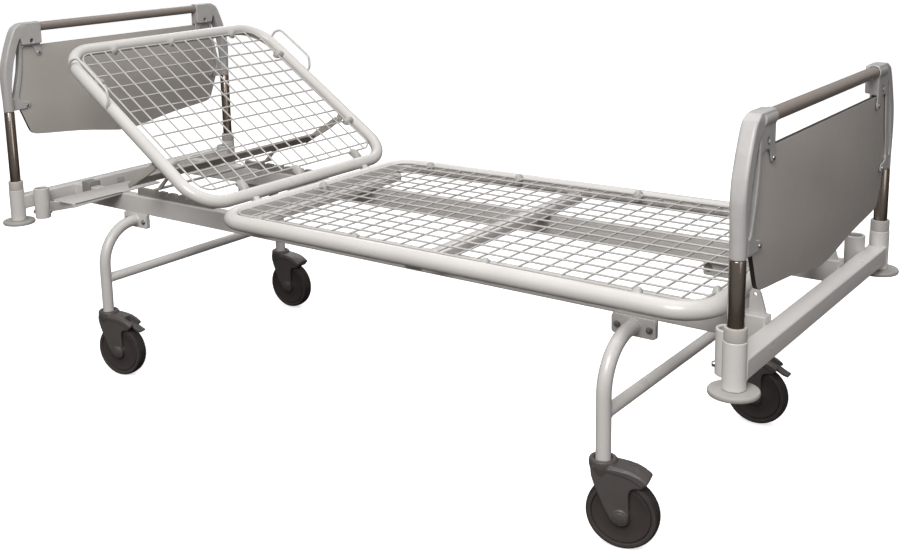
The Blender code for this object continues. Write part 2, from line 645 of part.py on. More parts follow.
def build_casting(name, end, side):
    top = CASTING_Z[end]
    x, y = end * POST_X, side * POST_Y
    handle = (end * HANDLE_X, top + HANDLE_RISE)

    def layer(outline, x_span):
        return plate([(side * u, top + v) for u, v in outline], mirror(end, x_span), "x")

    joins = [
        layer(RIB, RIB_X),
        cross_bar(*handle, mirror(side, GRIP_Y), GRIP_R, 16),
        upright(x, y, [top + dz for dz in SPIGOT_DZ], SPIGOT_R, 16),
    ]
    cuts = [
        layer(WINDOW, WINDOW_X),
        layer(PANEL_SLOT, PANEL_SLOT_X),
        cross_bar(*handle, mirror(side, HANDLE_BORE_Y), HANDLE_BORE_R, 16),
    ]
    casting = combine(layer(WALL, WALL_X), joins, cuts)
    finish(casting, name, "casting_grey", origin=(x, y, top))


def build_post(name, end, side):
    top = CASTING_Z[end]
    x, y = end * POST_X, side * POST_Y
    tube = upright(x, y, (POST_BOTTOM_Z, top - POST_TOP_GAP), POST_R, 16)
    bore = upright(x, y, [top + dz for dz in SPIGOT_BORE_DZ], SPIGOT_BORE, 16)
    finish(combine(tube, cuts=[bore]), name, "chrome", origin=(x, y, top))


def build_handle(tag, end):
    z = CASTING_Z[end] + HANDLE_RISE
    handle = cross_bar(end * HANDLE_X, z, about(0, HANDLE_HALF), HANDLE_R, 16)
    finish(handle, f"board_handle_{tag}", "grip_grey")


def build_panel(tag, end):
    rise = CASTING_Z[end] - CASTING_Z[1]
    far = [(y, z + rise) for y, z in PANEL]
    near = [(-y, z) for y, z in reversed(far[1:])]
    outline = far + [(0.0, far[-1][1])] + near
    panel = plate(outline, mirror(end, PANEL_X), "x")
    finish(panel, f"board_panel_{tag}", "laminate", smooth=False)


# ---------------------------------------------------------------- post collars and bumpers
COLLAR_R, COLLAR_BORE, COLLAR_Z0, COLLAR_Z1 = 0.0198, POST_R + 0.0004, 0.5013, 0.526
BUMPER_R, BUMPER_BORE, BUMPER_Z0, BUMPER_Z1 = 0.0446, 0.0060, 0.4028, 0.4131
# (radius, z), with bevelled rims
COLLAR = [
    (COLLAR_R, COLLAR_Z0), (COLLAR_R, COLLAR_Z1 - 0.002), (COLLAR_R - 0.002, COLLAR_Z1),
    (COLLAR_BORE, COLLAR_Z1), (COLLAR_BORE, COLLAR_Z0),
]
BUMPER = [
    (BUMPER_R - 0.002, BUMPER_Z0), (BUMPER_R, BUMPER_Z0 + 0.0025),
    (BUMPER_R, BUMPER_Z1 - 0.0025), (BUMPER_R - 0.002, BUMPER_Z1),
    (BUMPER_BORE, BUMPER_Z1), (BUMPER_BORE, BUMPER_Z0),
]


def build_post_ring(name, profile, segments, end, side):
    ring = turned(profile, segments, centre=(end * POST_X, side * POST_Y, 0))
    finish(ring, name, "bumper_grey")


# ---------------------------------------------------------------- casters
# Modelled about the swivel axis, trailing towards +X, then turned about Z.
WHEEL_R, TRAIL = 0.0725, 0.0395
AXLE = (TRAIL, 0, WHEEL_R)
# name: (end, side, swivel angle in radians, braked)
CASTERS = {
    "near_foot": (1, -1, 0.226, False),
    "far_foot": (1, 1, 0.016, True),
    "near_head": (-1, -1, 0.203, True),
    "far_head": (-1, 1, 0.050, False),
}
# Fork side view: (x, z)
FORK = [
    (-0.0190, 0.1680), (-0.0205, 0.1600), (-0.0190, 0.1480), (-0.0093, 0.1205),
    (0.0058, 0.0870), (0.0190, 0.0640), (0.0270, 0.0560), (0.0350, 0.0520), (0.0440, 0.0520),
    (0.0520, 0.0565), (0.0560, 0.0650), (0.0563, 0.0800), (0.0550, 0.1120), (0.0575, 0.1270),
    (0.0650, 0.1345), (0.0810, 0.1375), (0.0870, 0.1430), (0.0895, 0.1500), (0.0945, 0.1530),
    (0.0960, 0.1570), (0.0930, 0.1610), (0.0780, 0.1680), (0.0600, 0.1725), (0.0400, 0.1750),
    (-0.0100, 0.1750),
]
FORK_HALF, NECK_R, NECK_Z = 0.0245, 0.0275, (0.150, 0.1762)
WELL = ring_profile(inner=0.0030, outer=WHEEL_R + 0.0040, half=0.0188)
AXLE_R, AXLE_HALF = 0.0060, 0.030
CAP_R, CAP_HALF = 0.0100, 0.0268
CAP_GAP = ring_profile(inner=0.0061, outer=0.030, half=0.0189)
PEDAL_NOTCH = ((0.0640, 0.1200), (-0.0126, 0.0126), (0.100, 0.190))  # x, y and z spans
# Pedal side view: (x, z)
PEDAL = [
    (0.0668, 0.1530), (0.0725, 0.1560), (0.0900, 0.1495), (0.1040, 0.1420), (0.1150, 0.1375),
    (0.1140, 0.1325), (0.1020, 0.1355), (0.0900, 0.1420), (0.0760, 0.1475), (0.0680, 0.1480),
]
PEDAL_HALF, PEDAL_ORIGIN = 0.0118, (0.0700, 0, 0.1515)
# Wheel sections: (radius, y)
TYRE = [
    (0.0598, -0.0155), (0.0682, -0.0155), (WHEEL_R, -0.0085),
    (WHEEL_R, 0.0085), (0.0682, 0.0155), (0.0598, 0.0155),
]
HUB = [
    (0.0067, -0.0170), (0.0160, -0.0170), (0.0185, -0.0130), (0.0590, -0.0150),
    (0.0590, 0.0150), (0.0185, 0.0130), (0.0160, 0.0170), (0.0067, 0.0170),
]


def build_fork(tag, place, braked):
    neck = upright(0, 0, NECK_Z, NECK_R, 16)
    cuts = [turned(WELL, 24, "y", AXLE)]
    if braked:
        cuts.append(box(*PEDAL_NOTCH))
    fork = combine(plate(FORK, about(0, FORK_HALF)), [neck], cuts)
    axle = cross_bar(TRAIL, WHEEL_R, about(0, AXLE_HALF), AXLE_R)
    # Two caps with the wheel gap cleared between them
    caps = cross_bar(TRAIL, WHEEL_R, about(0, CAP_HALF), CAP_R)
    caps = combine(caps, cuts=[turned(CAP_GAP, 12, "y", AXLE)])
    finish(combine(fork, [caps, axle]), f"caster_fork_{tag}", "fork_plastic", place=place)


def build_wheel(tag, place):
    spin = place @ Matrix.Translation(AXLE)
    finish(turned(TYRE, 22, "y"), f"wheel_tyre_{tag}", "tread", place=spin)
    finish(turned(HUB, 22, "y"), f"wheel_hub_{tag}", "wheel_plastic", place=spin)


def build_pedal(tag, place):
    pedal = plate(PEDAL, about(0, PEDAL_HALF))
    finish(pedal, f"brake_pedal_{tag}", "fork_plastic", origin=PEDAL_ORIGIN, place=place)


def build_caster(tag, end, side, angle, braked):
    swivel = Matrix.Translation((LEG_X[end], side * LEG_Y[end], 0))
    place = swivel @ Matrix.Rotation(angle, 4, "Z")
    build_fork(tag, place, braked)
    build_wheel(tag, place)
    if braked:
        build_pedal(tag, place)


# ---------------------------------------------------------------- build
build_main_frame()
build_foot_section()
build_backrest()
build_hinge_pins()
build_prop_frame()
build_prop_pins()
build_ratchet_combs()
build_head_tray()
build_head_rail_clamp()
for end_name, end_sign in ENDS.items():
    build_leg_frame(end_name, end_sign)
    build_leg_bolts(end_name, end_sign)
    build_handle(end_name, end_sign)
    build_panel(end_name, end_sign)
    for side_name, side_sign in SIDES.items():
        corner, signs = f"{side_name}_{end_name}", (end_sign, side_sign)
        build_casting(f"board_casting_{corner}", *signs)
        build_post(f"board_post_{corner}", *signs)
        build_post_ring(f"post_collar_{corner}", COLLAR, 16, *signs)
        build_post_ring(f"corner_bumper_{corner}", BUMPER, 18, *signs)
for caster, values in CASTERS.items():
    build_caster(caster, *values)
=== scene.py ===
# A bed frame on four casters, with a raised backrest and a board at each end.
# It lies along X with its foot at +X, its far side at +Y and the floor at z = 0, in metres.
# In loops, `end` is +1 at the foot and -1 at the head; `side` is +1 far and -1 near.
import json
from math import atan2, cos, pi, radians, sin, sqrt

import bmesh
import bpy
from mathutils import Matrix, Vector

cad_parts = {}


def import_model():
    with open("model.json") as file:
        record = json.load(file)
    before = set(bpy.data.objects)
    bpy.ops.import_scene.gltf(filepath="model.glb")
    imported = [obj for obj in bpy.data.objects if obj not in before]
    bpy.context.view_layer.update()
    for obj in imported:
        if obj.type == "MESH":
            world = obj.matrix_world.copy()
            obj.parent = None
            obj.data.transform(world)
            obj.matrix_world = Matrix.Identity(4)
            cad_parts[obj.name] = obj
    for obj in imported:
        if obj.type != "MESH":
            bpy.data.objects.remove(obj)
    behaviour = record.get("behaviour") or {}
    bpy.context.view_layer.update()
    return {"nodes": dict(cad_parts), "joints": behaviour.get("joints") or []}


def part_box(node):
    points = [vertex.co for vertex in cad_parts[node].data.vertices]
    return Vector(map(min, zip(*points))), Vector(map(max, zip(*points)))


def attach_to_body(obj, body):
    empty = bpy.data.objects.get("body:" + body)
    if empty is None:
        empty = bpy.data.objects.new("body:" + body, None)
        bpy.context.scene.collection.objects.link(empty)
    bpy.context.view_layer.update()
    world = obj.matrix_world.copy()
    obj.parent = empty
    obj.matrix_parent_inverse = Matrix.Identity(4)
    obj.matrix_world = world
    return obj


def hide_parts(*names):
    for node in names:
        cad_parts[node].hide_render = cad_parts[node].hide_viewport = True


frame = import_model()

JOINTS = {j["name"]: j for j in frame["joints"]}
ENDS = {"foot": 1, "head": -1}
SIDES = {"near": -1, "far": 1}
CORNERS = [(end, side) for end in (1, -1) for side in (1, -1)]


def mid(node):
    low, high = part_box(node)
    return (low + high) / 2


# ================================================================ materials
def srgb(*channels):
    """A linear colour from sRGB channels of 0 to 255."""
    parts = [c / 255 for c in channels]
    return tuple(c / 12.92 if c <= 0.04045 else ((c + 0.055) / 1.055) ** 2.4
                 for c in parts) + (1.0,)


def tint(colour, factor, lift=0.0):
    return tuple(min(1.0, c * factor + lift) for c in colour[:3]) + (1.0,)


class Nodes:
    """The node tree of a material or world. Any value given may also be a socket."""

    def __init__(self, data, main="Principled BSDF"):
        data.use_nodes = True
        self.data = data
        self.tree = data.node_tree
        self.main = self.tree.nodes[main]

    def fill(self, socket, value):
        if isinstance(value, bpy.types.NodeSocket):
            self.tree.links.new(value, socket)
        else:
            socket.default_value = value

    def node(self, kind, *in_order, **settings):
        made = self.tree.nodes.new(kind)
        for key, value in settings.items():
            if key in made.inputs:
                self.fill(made.inputs[key], value)
            else:
                setattr(made, key, value)
        for socket, value in zip(made.inputs, in_order):
            self.fill(socket, value)
        return made

    def put(self, name, value):
        self.fill(self.main.inputs[name], value)

    def coords(self):
        return self.node("ShaderNodeTexCoord").outputs["Object"]

    def stretch(self, x, y, z):
        mapping = self.node("ShaderNodeMapping", Scale=(x, y, z), Vector=self.coords())
        return mapping.outputs["Vector"]

    def noise(self, scale, detail=4.0, rough=0.55, vector=None):
        return self.node("ShaderNodeTexNoise", Scale=scale, Detail=detail, Roughness=rough,
                         Vector=vector or self.coords()).outputs["Fac"]

    def ramp(self, fac, stops):
        made = self.node("ShaderNodeValToRGB", Fac=fac)
        elements = made.color_ramp.elements
        elements.remove(elements[-1])
        elements[0].position, elements[0].color = stops[0]
        for position, colour in stops[1:]:
            elements.new(position).color = colour
        return made.outputs["Color"]

    def remap(self, value, over=(0.3, 0.7), to=(0.0, 1.0)):
        limits = {"From Min": over[0], "From Max": over[1], "To Min": to[0], "To Max": to[1]}
        return self.node("ShaderNodeMapRange", Value=value, **limits).outputs["Result"]

    def mix(self, fac, first, second, blend="MIX"):
        made = self.node("ShaderNodeMix", data_type="RGBA", blend_type=blend)
        # Sockets 6 and 7 are the colour inputs.
        for index, value in ((0, fac), (6, first), (7, second)):
            self.fill(made.inputs[index], value)
        return made.outputs[2]

    def bump(self, height, strength, distance):
        return self.node("ShaderNodeBump", Strength=strength, Distance=distance,
                         Height=height).outputs["Normal"]

    def edge(self, radius):
        """1 on a sharp edge and 0 on flat ground."""
        bevel = self.node("ShaderNodeBevel", samples=4, Radius=radius)
        flat = self.node("ShaderNodeNewGeometry")
        dot = self.node("ShaderNodeVectorMath", bevel.outputs["Normal"],
                        flat.outputs["Normal"], operation="DOT_PRODUCT")
        return self.remap(dot.outputs["Value"], over=(0.985, 0.80))


def new_material(name):
    return Nodes(bpy.data.materials.new(name))


def enamel(name, colour, dark=0.86, rough=0.30, peel=0.10):
    """Powder coat: orange peel, dirt mottling down to `dark`, and a painted highlight that
    lightens the edges a little.
    """
    n = new_material(name)
    cloud = n.noise(scale=9.0, detail=5.0)
    fine = n.noise(scale=160.0, detail=3.0)
    base = n.mix(n.remap(cloud, over=(0.35, 0.68), to=(0.0, 0.75)), colour, tint(colour, dark))
    speck = n.ramp(n.noise(scale=420.0, detail=2.0, rough=0.7), [
        (0.0, (0.72, 0.70, 0.67, 1)), (0.30, (0.90, 0.89, 0.88, 1)), (0.36, (1, 1, 1, 1))])
    base = n.mix(0.55, base, speck, "MULTIPLY")
    # Painted highlight: sharp edges lightened a little towards a paler tint.
    painted_edge_highlight = n.remap(n.edge(radius=0.0025), over=(0.0, 1.0), to=(0.0, 0.35))
    n.put("Base Color", n.mix(painted_edge_highlight, base, tint(colour, 1.12)))
    n.put("Roughness", n.remap(cloud, to=(rough - 0.05, rough + 0.09)))
    n.put("Normal", n.bump(fine, strength=peel, distance=0.0006))
    n.put("Specular IOR Level", 0.5)
    n.put("Coat Weight", 0.18)
    n.put("Coat Roughness", 0.18)
    return n.data


def moulded(name, colour, rough=0.45, grain=900.0, strength=0.12, worn=0.30):
    """Moulded plastic: fine grain, uneven sheen and lighter scuffed edges."""
    n = new_material(name)
    cloud = n.noise(scale=14.0, detail=5.0)
    grit = n.noise(scale=grain, detail=2.0, rough=0.6)
    scuff = n.noise(scale=60.0, detail=6.0, rough=0.7, vector=n.stretch(1.0, 1.0, 0.35))
    base = n.mix(n.remap(cloud, over=(0.35, 0.7)), colour, tint(colour, 0.86))
    wear = n.node("ShaderNodeMath", n.edge(radius=0.0022),
                  n.remap(scuff, over=(0.42, 0.62), to=(0.0, worn)), operation="MULTIPLY")
    n.put("Base Color", n.mix(wear.outputs[0], base, tint(colour, 1.30, lift=0.01)))
    n.put("Roughness", n.remap(scuff, to=(rough - 0.08, rough + 0.10)))
    n.put("Normal", n.bump(grit, strength=strength, distance=0.0004))
    n.put("Specular IOR Level", 0.45)
    return n.data


def chrome_plate(name):
    """Bright chrome: a painted reflection, dark brown at the heart and light at the rims, and
    faint drawing lines.
    """
    n = new_material(name)
    facing = n.node("ShaderNodeLayerWeight", Blend=0.5).outputs["Facing"]
    # Painted reflection: the colour follows the facing angle, dark brown where the post faces the
    # view and light at its rims.
    tone = n.ramp(facing, [
        (0.0, srgb(150, 139, 130)), (0.22, srgb(128, 115, 105)), (0.42, srgb(108, 96, 87)),
        (0.60, srgb(158, 148, 140)), (0.80, srgb(214, 209, 205)), (1.0, srgb(232, 230, 228))])
    drawn = n.noise(scale=55.0, rough=0.6, vector=n.stretch(1.0, 1.0, 0.03))
    lines = n.remap(drawn, over=(0.35, 0.65), to=(0.0, 0.18))
    n.put("Base Color", n.mix(lines, tone, srgb(60, 52, 47)))
    n.put("Metallic", 0.88)
    n.put("Roughness", n.remap(n.noise(scale=24.0), to=(0.09, 0.19)))
    n.put("Normal", n.bump(drawn, strength=0.03, distance=0.0004))
    return n.data


def metal(name, colour, rough):
    """Plated steel: mottled plating and fine scratches."""
    n = new_material(name)
    cloud = n.noise(scale=70.0, detail=5.0, rough=0.6)
    lines = n.noise(scale=300.0, detail=3.0, rough=0.7, vector=n.stretch(1.0, 1.0, 1.0))
    mottle = n.remap(cloud, over=(0.35, 0.65), to=(0.0, 0.8))
    n.put("Base Color", n.mix(mottle, colour, tint(colour, 0.68)))
    n.put("Metallic", 1.0)
    n.put("Roughness", n.remap(lines, to=(rough - 0.08, rough + 0.12)))
    n.put("Normal", n.bump(lines, strength=0.08, distance=0.0003))
    return n.data


def laminate(name, colour, core_colour):
    """Laminate: cloudy pebbled faces across X, dark layered core on the cut edge."""
    n = new_material(name)
    geometry = n.node("ShaderNodeNewGeometry")
    split = n.node("ShaderNodeSeparateXYZ", Vector=geometry.outputs["True Normal"])
    facing = n.node("ShaderNodeMath", split.outputs["X"], operation="ABSOLUTE")
    rim = n.remap(facing.outputs[0], over=(0.45, 0.75), to=(1.0, 0.0))
    cloud = n.noise(scale=5.0, detail=6.0, rough=0.6)
    dust = n.noise(scale=900.0, detail=2.0, rough=0.7)
    tone = n.mix(n.remap(cloud), colour, tint(colour, 0.90))
    tone = n.mix(n.remap(dust, over=(0.42, 0.66), to=(0.0, 0.22)), tone, tint(colour, 1.25))
    layers = n.noise(scale=40.0, detail=3.0, rough=0.6, vector=n.stretch(90.0, 1.0, 1.0))
    core = n.mix(n.remap(layers, over=(0.35, 0.65)), core_colour, tint(core_colour, 0.5))
    n.put("Base Color", n.mix(rim, tone, core))
    n.put("Roughness", n.remap(n.noise(scale=30.0), to=(0.42, 0.56)))
    pebble = n.noise(scale=1500.0, detail=2.0)
    n.put("Normal", n.bump(pebble, strength=0.10, distance=0.0003))
    n.put("Specular IOR Level", 0.42)
    return n.data


def rubber(name, colour):
    """Caster tread: matt and dusty."""
    n = new_material(name)
    dust = n.noise(scale=45.0, detail=6.0, rough=0.7)
    dusted = n.remap(dust, over=(0.40, 0.66), to=(0.0, 0.55))
    n.put("Base Color", n.mix(dusted, colour, tint(colour, 2.4, lift=0.006)))
    n.put("Roughness", n.remap(dust, to=(0.62, 0.82)))
    grain = n.noise(scale=700.0, detail=3.0, rough=0.7)
    n.put("Normal", n.bump(grain, strength=0.25, distance=0.0004))
    n.put("Specular IOR Level", 0.35)
    return n.data


MAT = {
    "enamel": enamel("enamel_warm_white", srgb(201, 198, 195), dark=0.93),
    "wire": enamel("enamel_wire", srgb(182, 179, 176), dark=0.90, rough=0.36, peel=0.06),
    "clamp": moulded("clamp_dark_grey", srgb(134, 130, 126), grain=500.0, worn=0.5),
    "clip": moulded("clip_grey", srgb(174, 171, 167),
                    rough=0.42, grain=500.0, strength=0.10, worn=0.5),
    "tyre_side": moulded("tyre_side_grey", srgb(66, 61, 59),
                         rough=0.50, grain=500.0, strength=0.16, worn=0.4),
    "casting_grey": moulded("casting_grey_satin", srgb(174, 172, 170),
                            rough=0.34, grain=700.0, strength=0.06, worn=0.5),
    "chrome": chrome_plate("chrome_post"),
    "grip_grey": enamel("grip_grey_brown", srgb(132, 122, 115), dark=0.88, peel=0.05),
    "laminate": laminate("laminate_grey", srgb(172, 166, 161), srgb(58, 54, 51)),
    "bumper_grey": moulded("bumper_grey_plastic", srgb(164, 161, 157),
                           rough=0.50, grain=600.0, worn=0.6),
    "collar": moulded("collar_grey_plastic", srgb(170, 165, 160),
                      rough=0.42, grain=700.0, strength=0.08, worn=0.5),
    "zinc": metal("zinc_plate", srgb(178, 178, 180), rough=0.34),
    "bolt": metal("bolt_grey", srgb(176, 173, 170), rough=0.38),
    "dark_steel": enamel("dark_grey_paint", srgb(140, 135, 130),
                         dark=0.80, rough=0.42, peel=0.14),
    "prop": enamel("prop_grey_paint", srgb(176, 170, 164), rough=0.36, peel=0.12),
    "fork_plastic": moulded("fork_plastic_dark", srgb(82, 77, 75),
                            rough=0.44, grain=500.0, strength=0.20, worn=0.9),
    "wheel_plastic": moulded("wheel_plastic_dark", srgb(64, 58, 56),
                             rough=0.38, grain=500.0, strength=0.14, worn=0.8),
    "tread": rubber("tread_rubber", srgb(40, 36, 34)),
    # Dark grey: painted shade in the hex sockets of the board screws; the pin in the casting's
    # small hole takes it too.
    "recess_shade": moulded("recess_painted_shade", srgb(70, 67, 64),
                      rough=0.7, grain=300.0, strength=0.2, worn=0.2),
}


# ================================================================ mesh builder
def loft(rings, closed=False):
    """A skin over rings of points, with its ends capped or joined to each other."""
    mesh = bmesh.new()
    rings = [[mesh.verts.new(point) for point in ring] for ring in rings]
    for first, second in zip(rings, rings[1:] + (rings[:1] if closed else [])):
        for k in range(len(first)):
            j = (k + 1) % len(first)
            mesh.faces.new((first[k], first[j], second[j], second[k]))
    if not closed:
        mesh.faces.new(rings[0])
        mesh.faces.new(rings[-1])
    return mesh


def bevel_edges(mesh, edges, offset, segments):
    bmesh.ops.bevel(mesh, geom=edges, offset=offset, segments=segments, profile=0.5,
                    affect="EDGES", clamp_overlap=True)


class Shape:
    """Collects closed shells in one mesh. `slot` is a material index."""

    def __init__(self):
        self.mesh = bmesh.new()

    def absorb(self, mesh, matrix=None, slot=0):
        bmesh.ops.recalc_face_normals(mesh, faces=mesh.faces)
        if matrix is not None:
            bmesh.ops.transform(mesh, matrix=matrix, verts=mesh.verts)
            if matrix.determinant() < 0:
                bmesh.ops.reverse_faces(mesh, faces=mesh.faces)
        for face in mesh.faces:
            face.material_index = slot
        temp = bpy.data.meshes.new("temp")
        mesh.to_mesh(temp)
        mesh.free()
        self.mesh.from_mesh(temp)
        bpy.data.meshes.remove(temp)
        return self

    def sweep(self, path, radius, sides, closed=False, matrix=None, slot=0, cap=0.0):
        """A round tube along a path, mitred at bends; `cap` rounds its open ends."""
        points = [Vector(p) for p in path]
        last = len(points) - 1
        angles = [2 * pi * (k + 0.5) / sides for k in range(sides)]
        rings = []
        up = None
        for i, point in enumerate(points):
            at_end = not closed and i in (0, last)
            arriving = (point - points[i - 1]).normalized()
            leaving = (points[(i + 1) % len(points)] - point).normalized()
            if at_end:
                tangent = arriving if i else leaving
            else:
                tangent = (arriving + leaving).normalized()
            if up is None:
                up = Vector((0, 0, 1)) if abs(tangent.z) < 0.9 else Vector((1, 0, 0))
            up = (up - tangent * up.dot(tangent)).normalized()
            across = tangent.cross(up)
            mitre = max(0.5, tangent.dot(leaving))
            bent = not at_end and mitre < 0.99999
            stations = [(point, radius)]
            if at_end and cap > 0:
                inward = -tangent if i else tangent
                stations = [(point, radius - cap),
                            (point + inward * cap * 0.3, radius - cap * 0.3),
                            (point + inward * cap, radius)]
                if i:
                    stations.reverse()
            for centre, size in stations:
                ring = [centre + (cos(a) * across + sin(a) * up) * size for a in angles]
                if bent:
                    out = (leaving - arriving).normalized()
                    grow = 1.0 / mitre - 1.0
                    ring = [v + out * (v - centre).dot(out) * grow for v in ring]
                rings.append(ring)
        return self.absorb(loft(rings, closed), matrix, slot)

    def rod(self, start, end, radius, sides=32, cap=0.0008, matrix=None, slot=0):
        return self.sweep([start, end], radius, sides, matrix=matrix, slot=slot, cap=cap)

    def weld(self, path, radius=0.0019):
        return self.sweep(path, radius, 8, closed=True)

    def box(self, x0, x1, y0, y1, z0, z1, bevel, segments=3, matrix=None):
        mesh = bmesh.new()
        bmesh.ops.create_cube(mesh, size=1.0)
        for v in mesh.verts:
            v.co = Vector(((x0 + x1) / 2 + v.co.x * (x1 - x0),
                           (y0 + y1) / 2 + v.co.y * (y1 - y0),
                           (z0 + z1) / 2 + v.co.z * (z1 - z0)))
        if bevel:
            bevel_edges(mesh, mesh.edges[:], bevel, segments)
        return self.absorb(mesh, matrix)

    def plate(self, outline, start, stop, axis="y", bevel=0.0008, segments=2, matrix=None):
        """An outline in the other two axes, pushed from start to stop along an axis."""
        mesh = bmesh.new()

        def layer(depth):
            return [mesh.verts.new({"x": (depth, u, v), "y": (u, depth, v),
                                    "z": (u, v, depth)}[axis]) for u, v in outline]

        low = layer(start)
        high = layer(stop)
        mesh.faces.new(low)
        mesh.faces.new(high)
        for k in range(len(outline)):
            j = (k + 1) % len(outline)
            mesh.faces.new((low[k], low[j], high[j], high[k]))
        bmesh.ops.recalc_face_normals(mesh, faces=mesh.faces)
        if bevel:
            sharp = [e for e in mesh.edges
                     if len(e.link_faces) == 2 and e.calc_face_angle(0) > radians(30)]
            bevel_edges(mesh, sharp, bevel, segments)
        return self.absorb(mesh, matrix)

    def turned(self, profile, sides, matrix=None, slot=0, closed=False):
        """A profile of (radius, height) turned about +Z. A closed profile is a ring."""
        mesh = bmesh.new()
        rings = []
        for r, height in profile:
            steps = 1 if r < 1e-7 else sides
            rings.append([mesh.verts.new((r * cos(2 * pi * k / sides),
                                          r * sin(2 * pi * k / sides), height))
                          for k in range(steps)])
        for a, b in zip(rings, rings[1:] + (rings[:1] if closed else [])):
            if len(a) == 1 and len(b) == 1:
                continue
            for k in range(sides):
                j = (k + 1) % sides
                if len(a) == 1:
                    mesh.faces.new((a[0], b[j], b[k]))
                elif len(b) == 1:
                    mesh.faces.new((a[k], a[j], b[0]))
                else:
                    mesh.faces.new((a[k], a[j], b[j], b[k]))
        return self.absorb(mesh, matrix, slot)

    def make(self, name, *materials):
        mesh = bpy.data.meshes.new(name)
        self.mesh.to_mesh(mesh)
        self.mesh.free()
        for material in materials:
            mesh.materials.append(MAT[material])
        mesh.shade_smooth()
        mesh.set_sharp_from_angle(angle=radians(35))
        return link(name, mesh)


def link(name, data):
    obj = bpy.data.objects.new(name, data)
    bpy.context.scene.collection.objects.link(obj)
    return obj


def along(point, direction):
    """A matrix that puts +Z of a turned shape along a direction."""
    turn = Vector(direction).normalized().to_track_quat("Z", "Y").to_matrix().to_4x4()
    return Matrix.Translation(Vector(point)) @ turn


def on_side(side, a, b):
    """Two distances moved to one side of the centre line, lowest first."""
    return sorted((side * a, side * b))


def rounded_rect(u0, u1, v0, v1, r, steps=6):
    corners = ((u1 - r, v1 - r, 0), (u0 + r, v1 - r, 90),
               (u0 + r, v0 + r, 180), (u1 - r, v0 + r, 270))
    angles = [90 * k / steps for k in range(steps + 1)]
    return [(u + r * cos(radians(start + a)), v + r * sin(radians(start + a)))
            for u, v, start in corners for a in angles]


def ring_path(x0, x1, y, z, radius, steps=14):
    """A level rectangle with round corners, from -y to y."""
    return [(u, v, z) for u, v in rounded_rect(x0, x1, -y, y, radius, steps)]


def capsule(start, stop, radius, steps=14):
    slope = atan2(stop[1] - start[1], stop[0] - start[0])
    points = []
    for (u, v), first in ((stop, slope - pi / 2), (start, slope + pi / 2)):
        for k in range(steps + 1):
            angle = first + pi * k / steps
            points.append((u + radius * cos(angle), v + radius * sin(angle)))
    return points


def spline(points, per, closed=True):
    """A Catmull-Rom curve through points, with `per` steps between them."""
    points = [Vector(p) for p in points]
    count = len(points)
    curve = []
    for i in range(count if closed else count - 1):
        p0 = points[i - 1] if closed or i else points[0]
        p1, p2 = points[i], points[(i + 1) % count]
        p3 = points[(i + 2) % count] if closed or i + 2 < count else points[-1]
        for k in range(per):
            t = k / per
            curve.append(0.5 * ((2 * p1) + (p2 - p0) * t
                                + (2 * p0 - 5 * p1 + 4 * p2 - p3) * t * t
                                + (3 * p1 - p0 - 3 * p2 + p3) * t ** 3))
    if not closed:
        curve.append(points[-1])
    return curve


def bead(part, centre, normal, radius, thick):
    """A weld bead: a slightly uneven ring."""
    matrix = along(centre, normal)
    path = []
    for k in range(40):
        a = 2 * pi * k / 40
        r = radius + 0.0004 * sin(7 * a) + 0.0003 * sin(17 * a + 1.3)
        path.append(matrix @ Vector((r * cos(a), r * sin(a), 0)))
    part.weld(path, thick)


def screw(part, point, direction, radius, height, recess=0):
    """A dome screw head with a hex socket; `recess` is the socket's material slot."""
    m = along(point, direction)
    r, h = radius, height
    part.turned([(0.0, -0.0015), (r, -0.0015), (r, h * 0.25), (r * 0.94, h * 0.62),
                 (r * 0.78, h * 0.90), (r * 0.56, h), (r * 0.46, h), (0.0, h * 0.99)], 28, m)
    part.turned([(0.0, h * 0.4), (r * 0.46, h * 0.4), (r * 0.46, h * 1.02),
                 (r * 0.38, h * 1.02), (r * 0.34, h * 0.55), (0.0, h * 0.50)], 6, m, recess)


def hexbolt(part, point, direction, radius, height, washer):
    """A washer, a hexagon and a round end standing out of it."""
    m = along(point, direction)
    r, h = radius, height
    part.turned([(0.0, 0.0), (washer, 0.0), (washer, 0.0012), (washer - 0.0004, 0.0016),
                 (0.0, 0.0016)], 32, m)
    part.turned([(0.0, 0.0012), (r * 0.97, 0.0012), (r, 0.0018), (r, h * 0.86),
                 (r * 0.90, h), (0.0, h)], 6, m)
    part.turned([(0.0, h * 0.9), (r * 0.42, h * 0.9), (r * 0.42, h + 0.0008),
                 (r * 0.30, h + 0.0012), (0.0, h + 0.0012)], 20, m)


def attach(obj, body, slot, *nodes):
    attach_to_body(obj, body)
    if nodes:
        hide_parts(*nodes)


def solid(added, cut, voxel, name, material):
    """Joins and cuts shapes, then remeshes and relaxes them into one body with soft blends."""
    base, *extra = [shape.make("temp_piece", "enamel") for shape in added]
    cutters = [shape.make("temp_piece", "enamel") for shape in cut]
    for operation, group in (("UNION", extra), ("DIFFERENCE", cutters)):
        for obj in group:
            boolean = base.modifiers.new(operation, "BOOLEAN")
            boolean.operation, boolean.solver, boolean.object = operation, "EXACT", obj
    remesh = base.modifiers.new("remesh", "REMESH")
    remesh.mode, remesh.voxel_size = "VOXEL", voxel
    relax = base.modifiers.new("relax", "SMOOTH")
    relax.factor, relax.iterations = 0.5, 3
    bpy.context.view_layer.update()
    shaped = base.evaluated_get(bpy.context.evaluated_depsgraph_get())
    mesh = bpy.data.meshes.new_from_object(shaped)
    for obj in [base] + extra + cutters:
        bpy.data.objects.remove(obj, do_unlink=True)
    mesh.materials.clear()
    mesh.materials.append(MAT[material])
    mesh.shade_smooth()
    mesh.name = name
    return mesh


def copy_of(mesh, name, matrix):
    made = mesh.copy()
    made.transform(matrix)
    if matrix.determinant() < 0:
        made.flip_normals()
    return link(name, made)


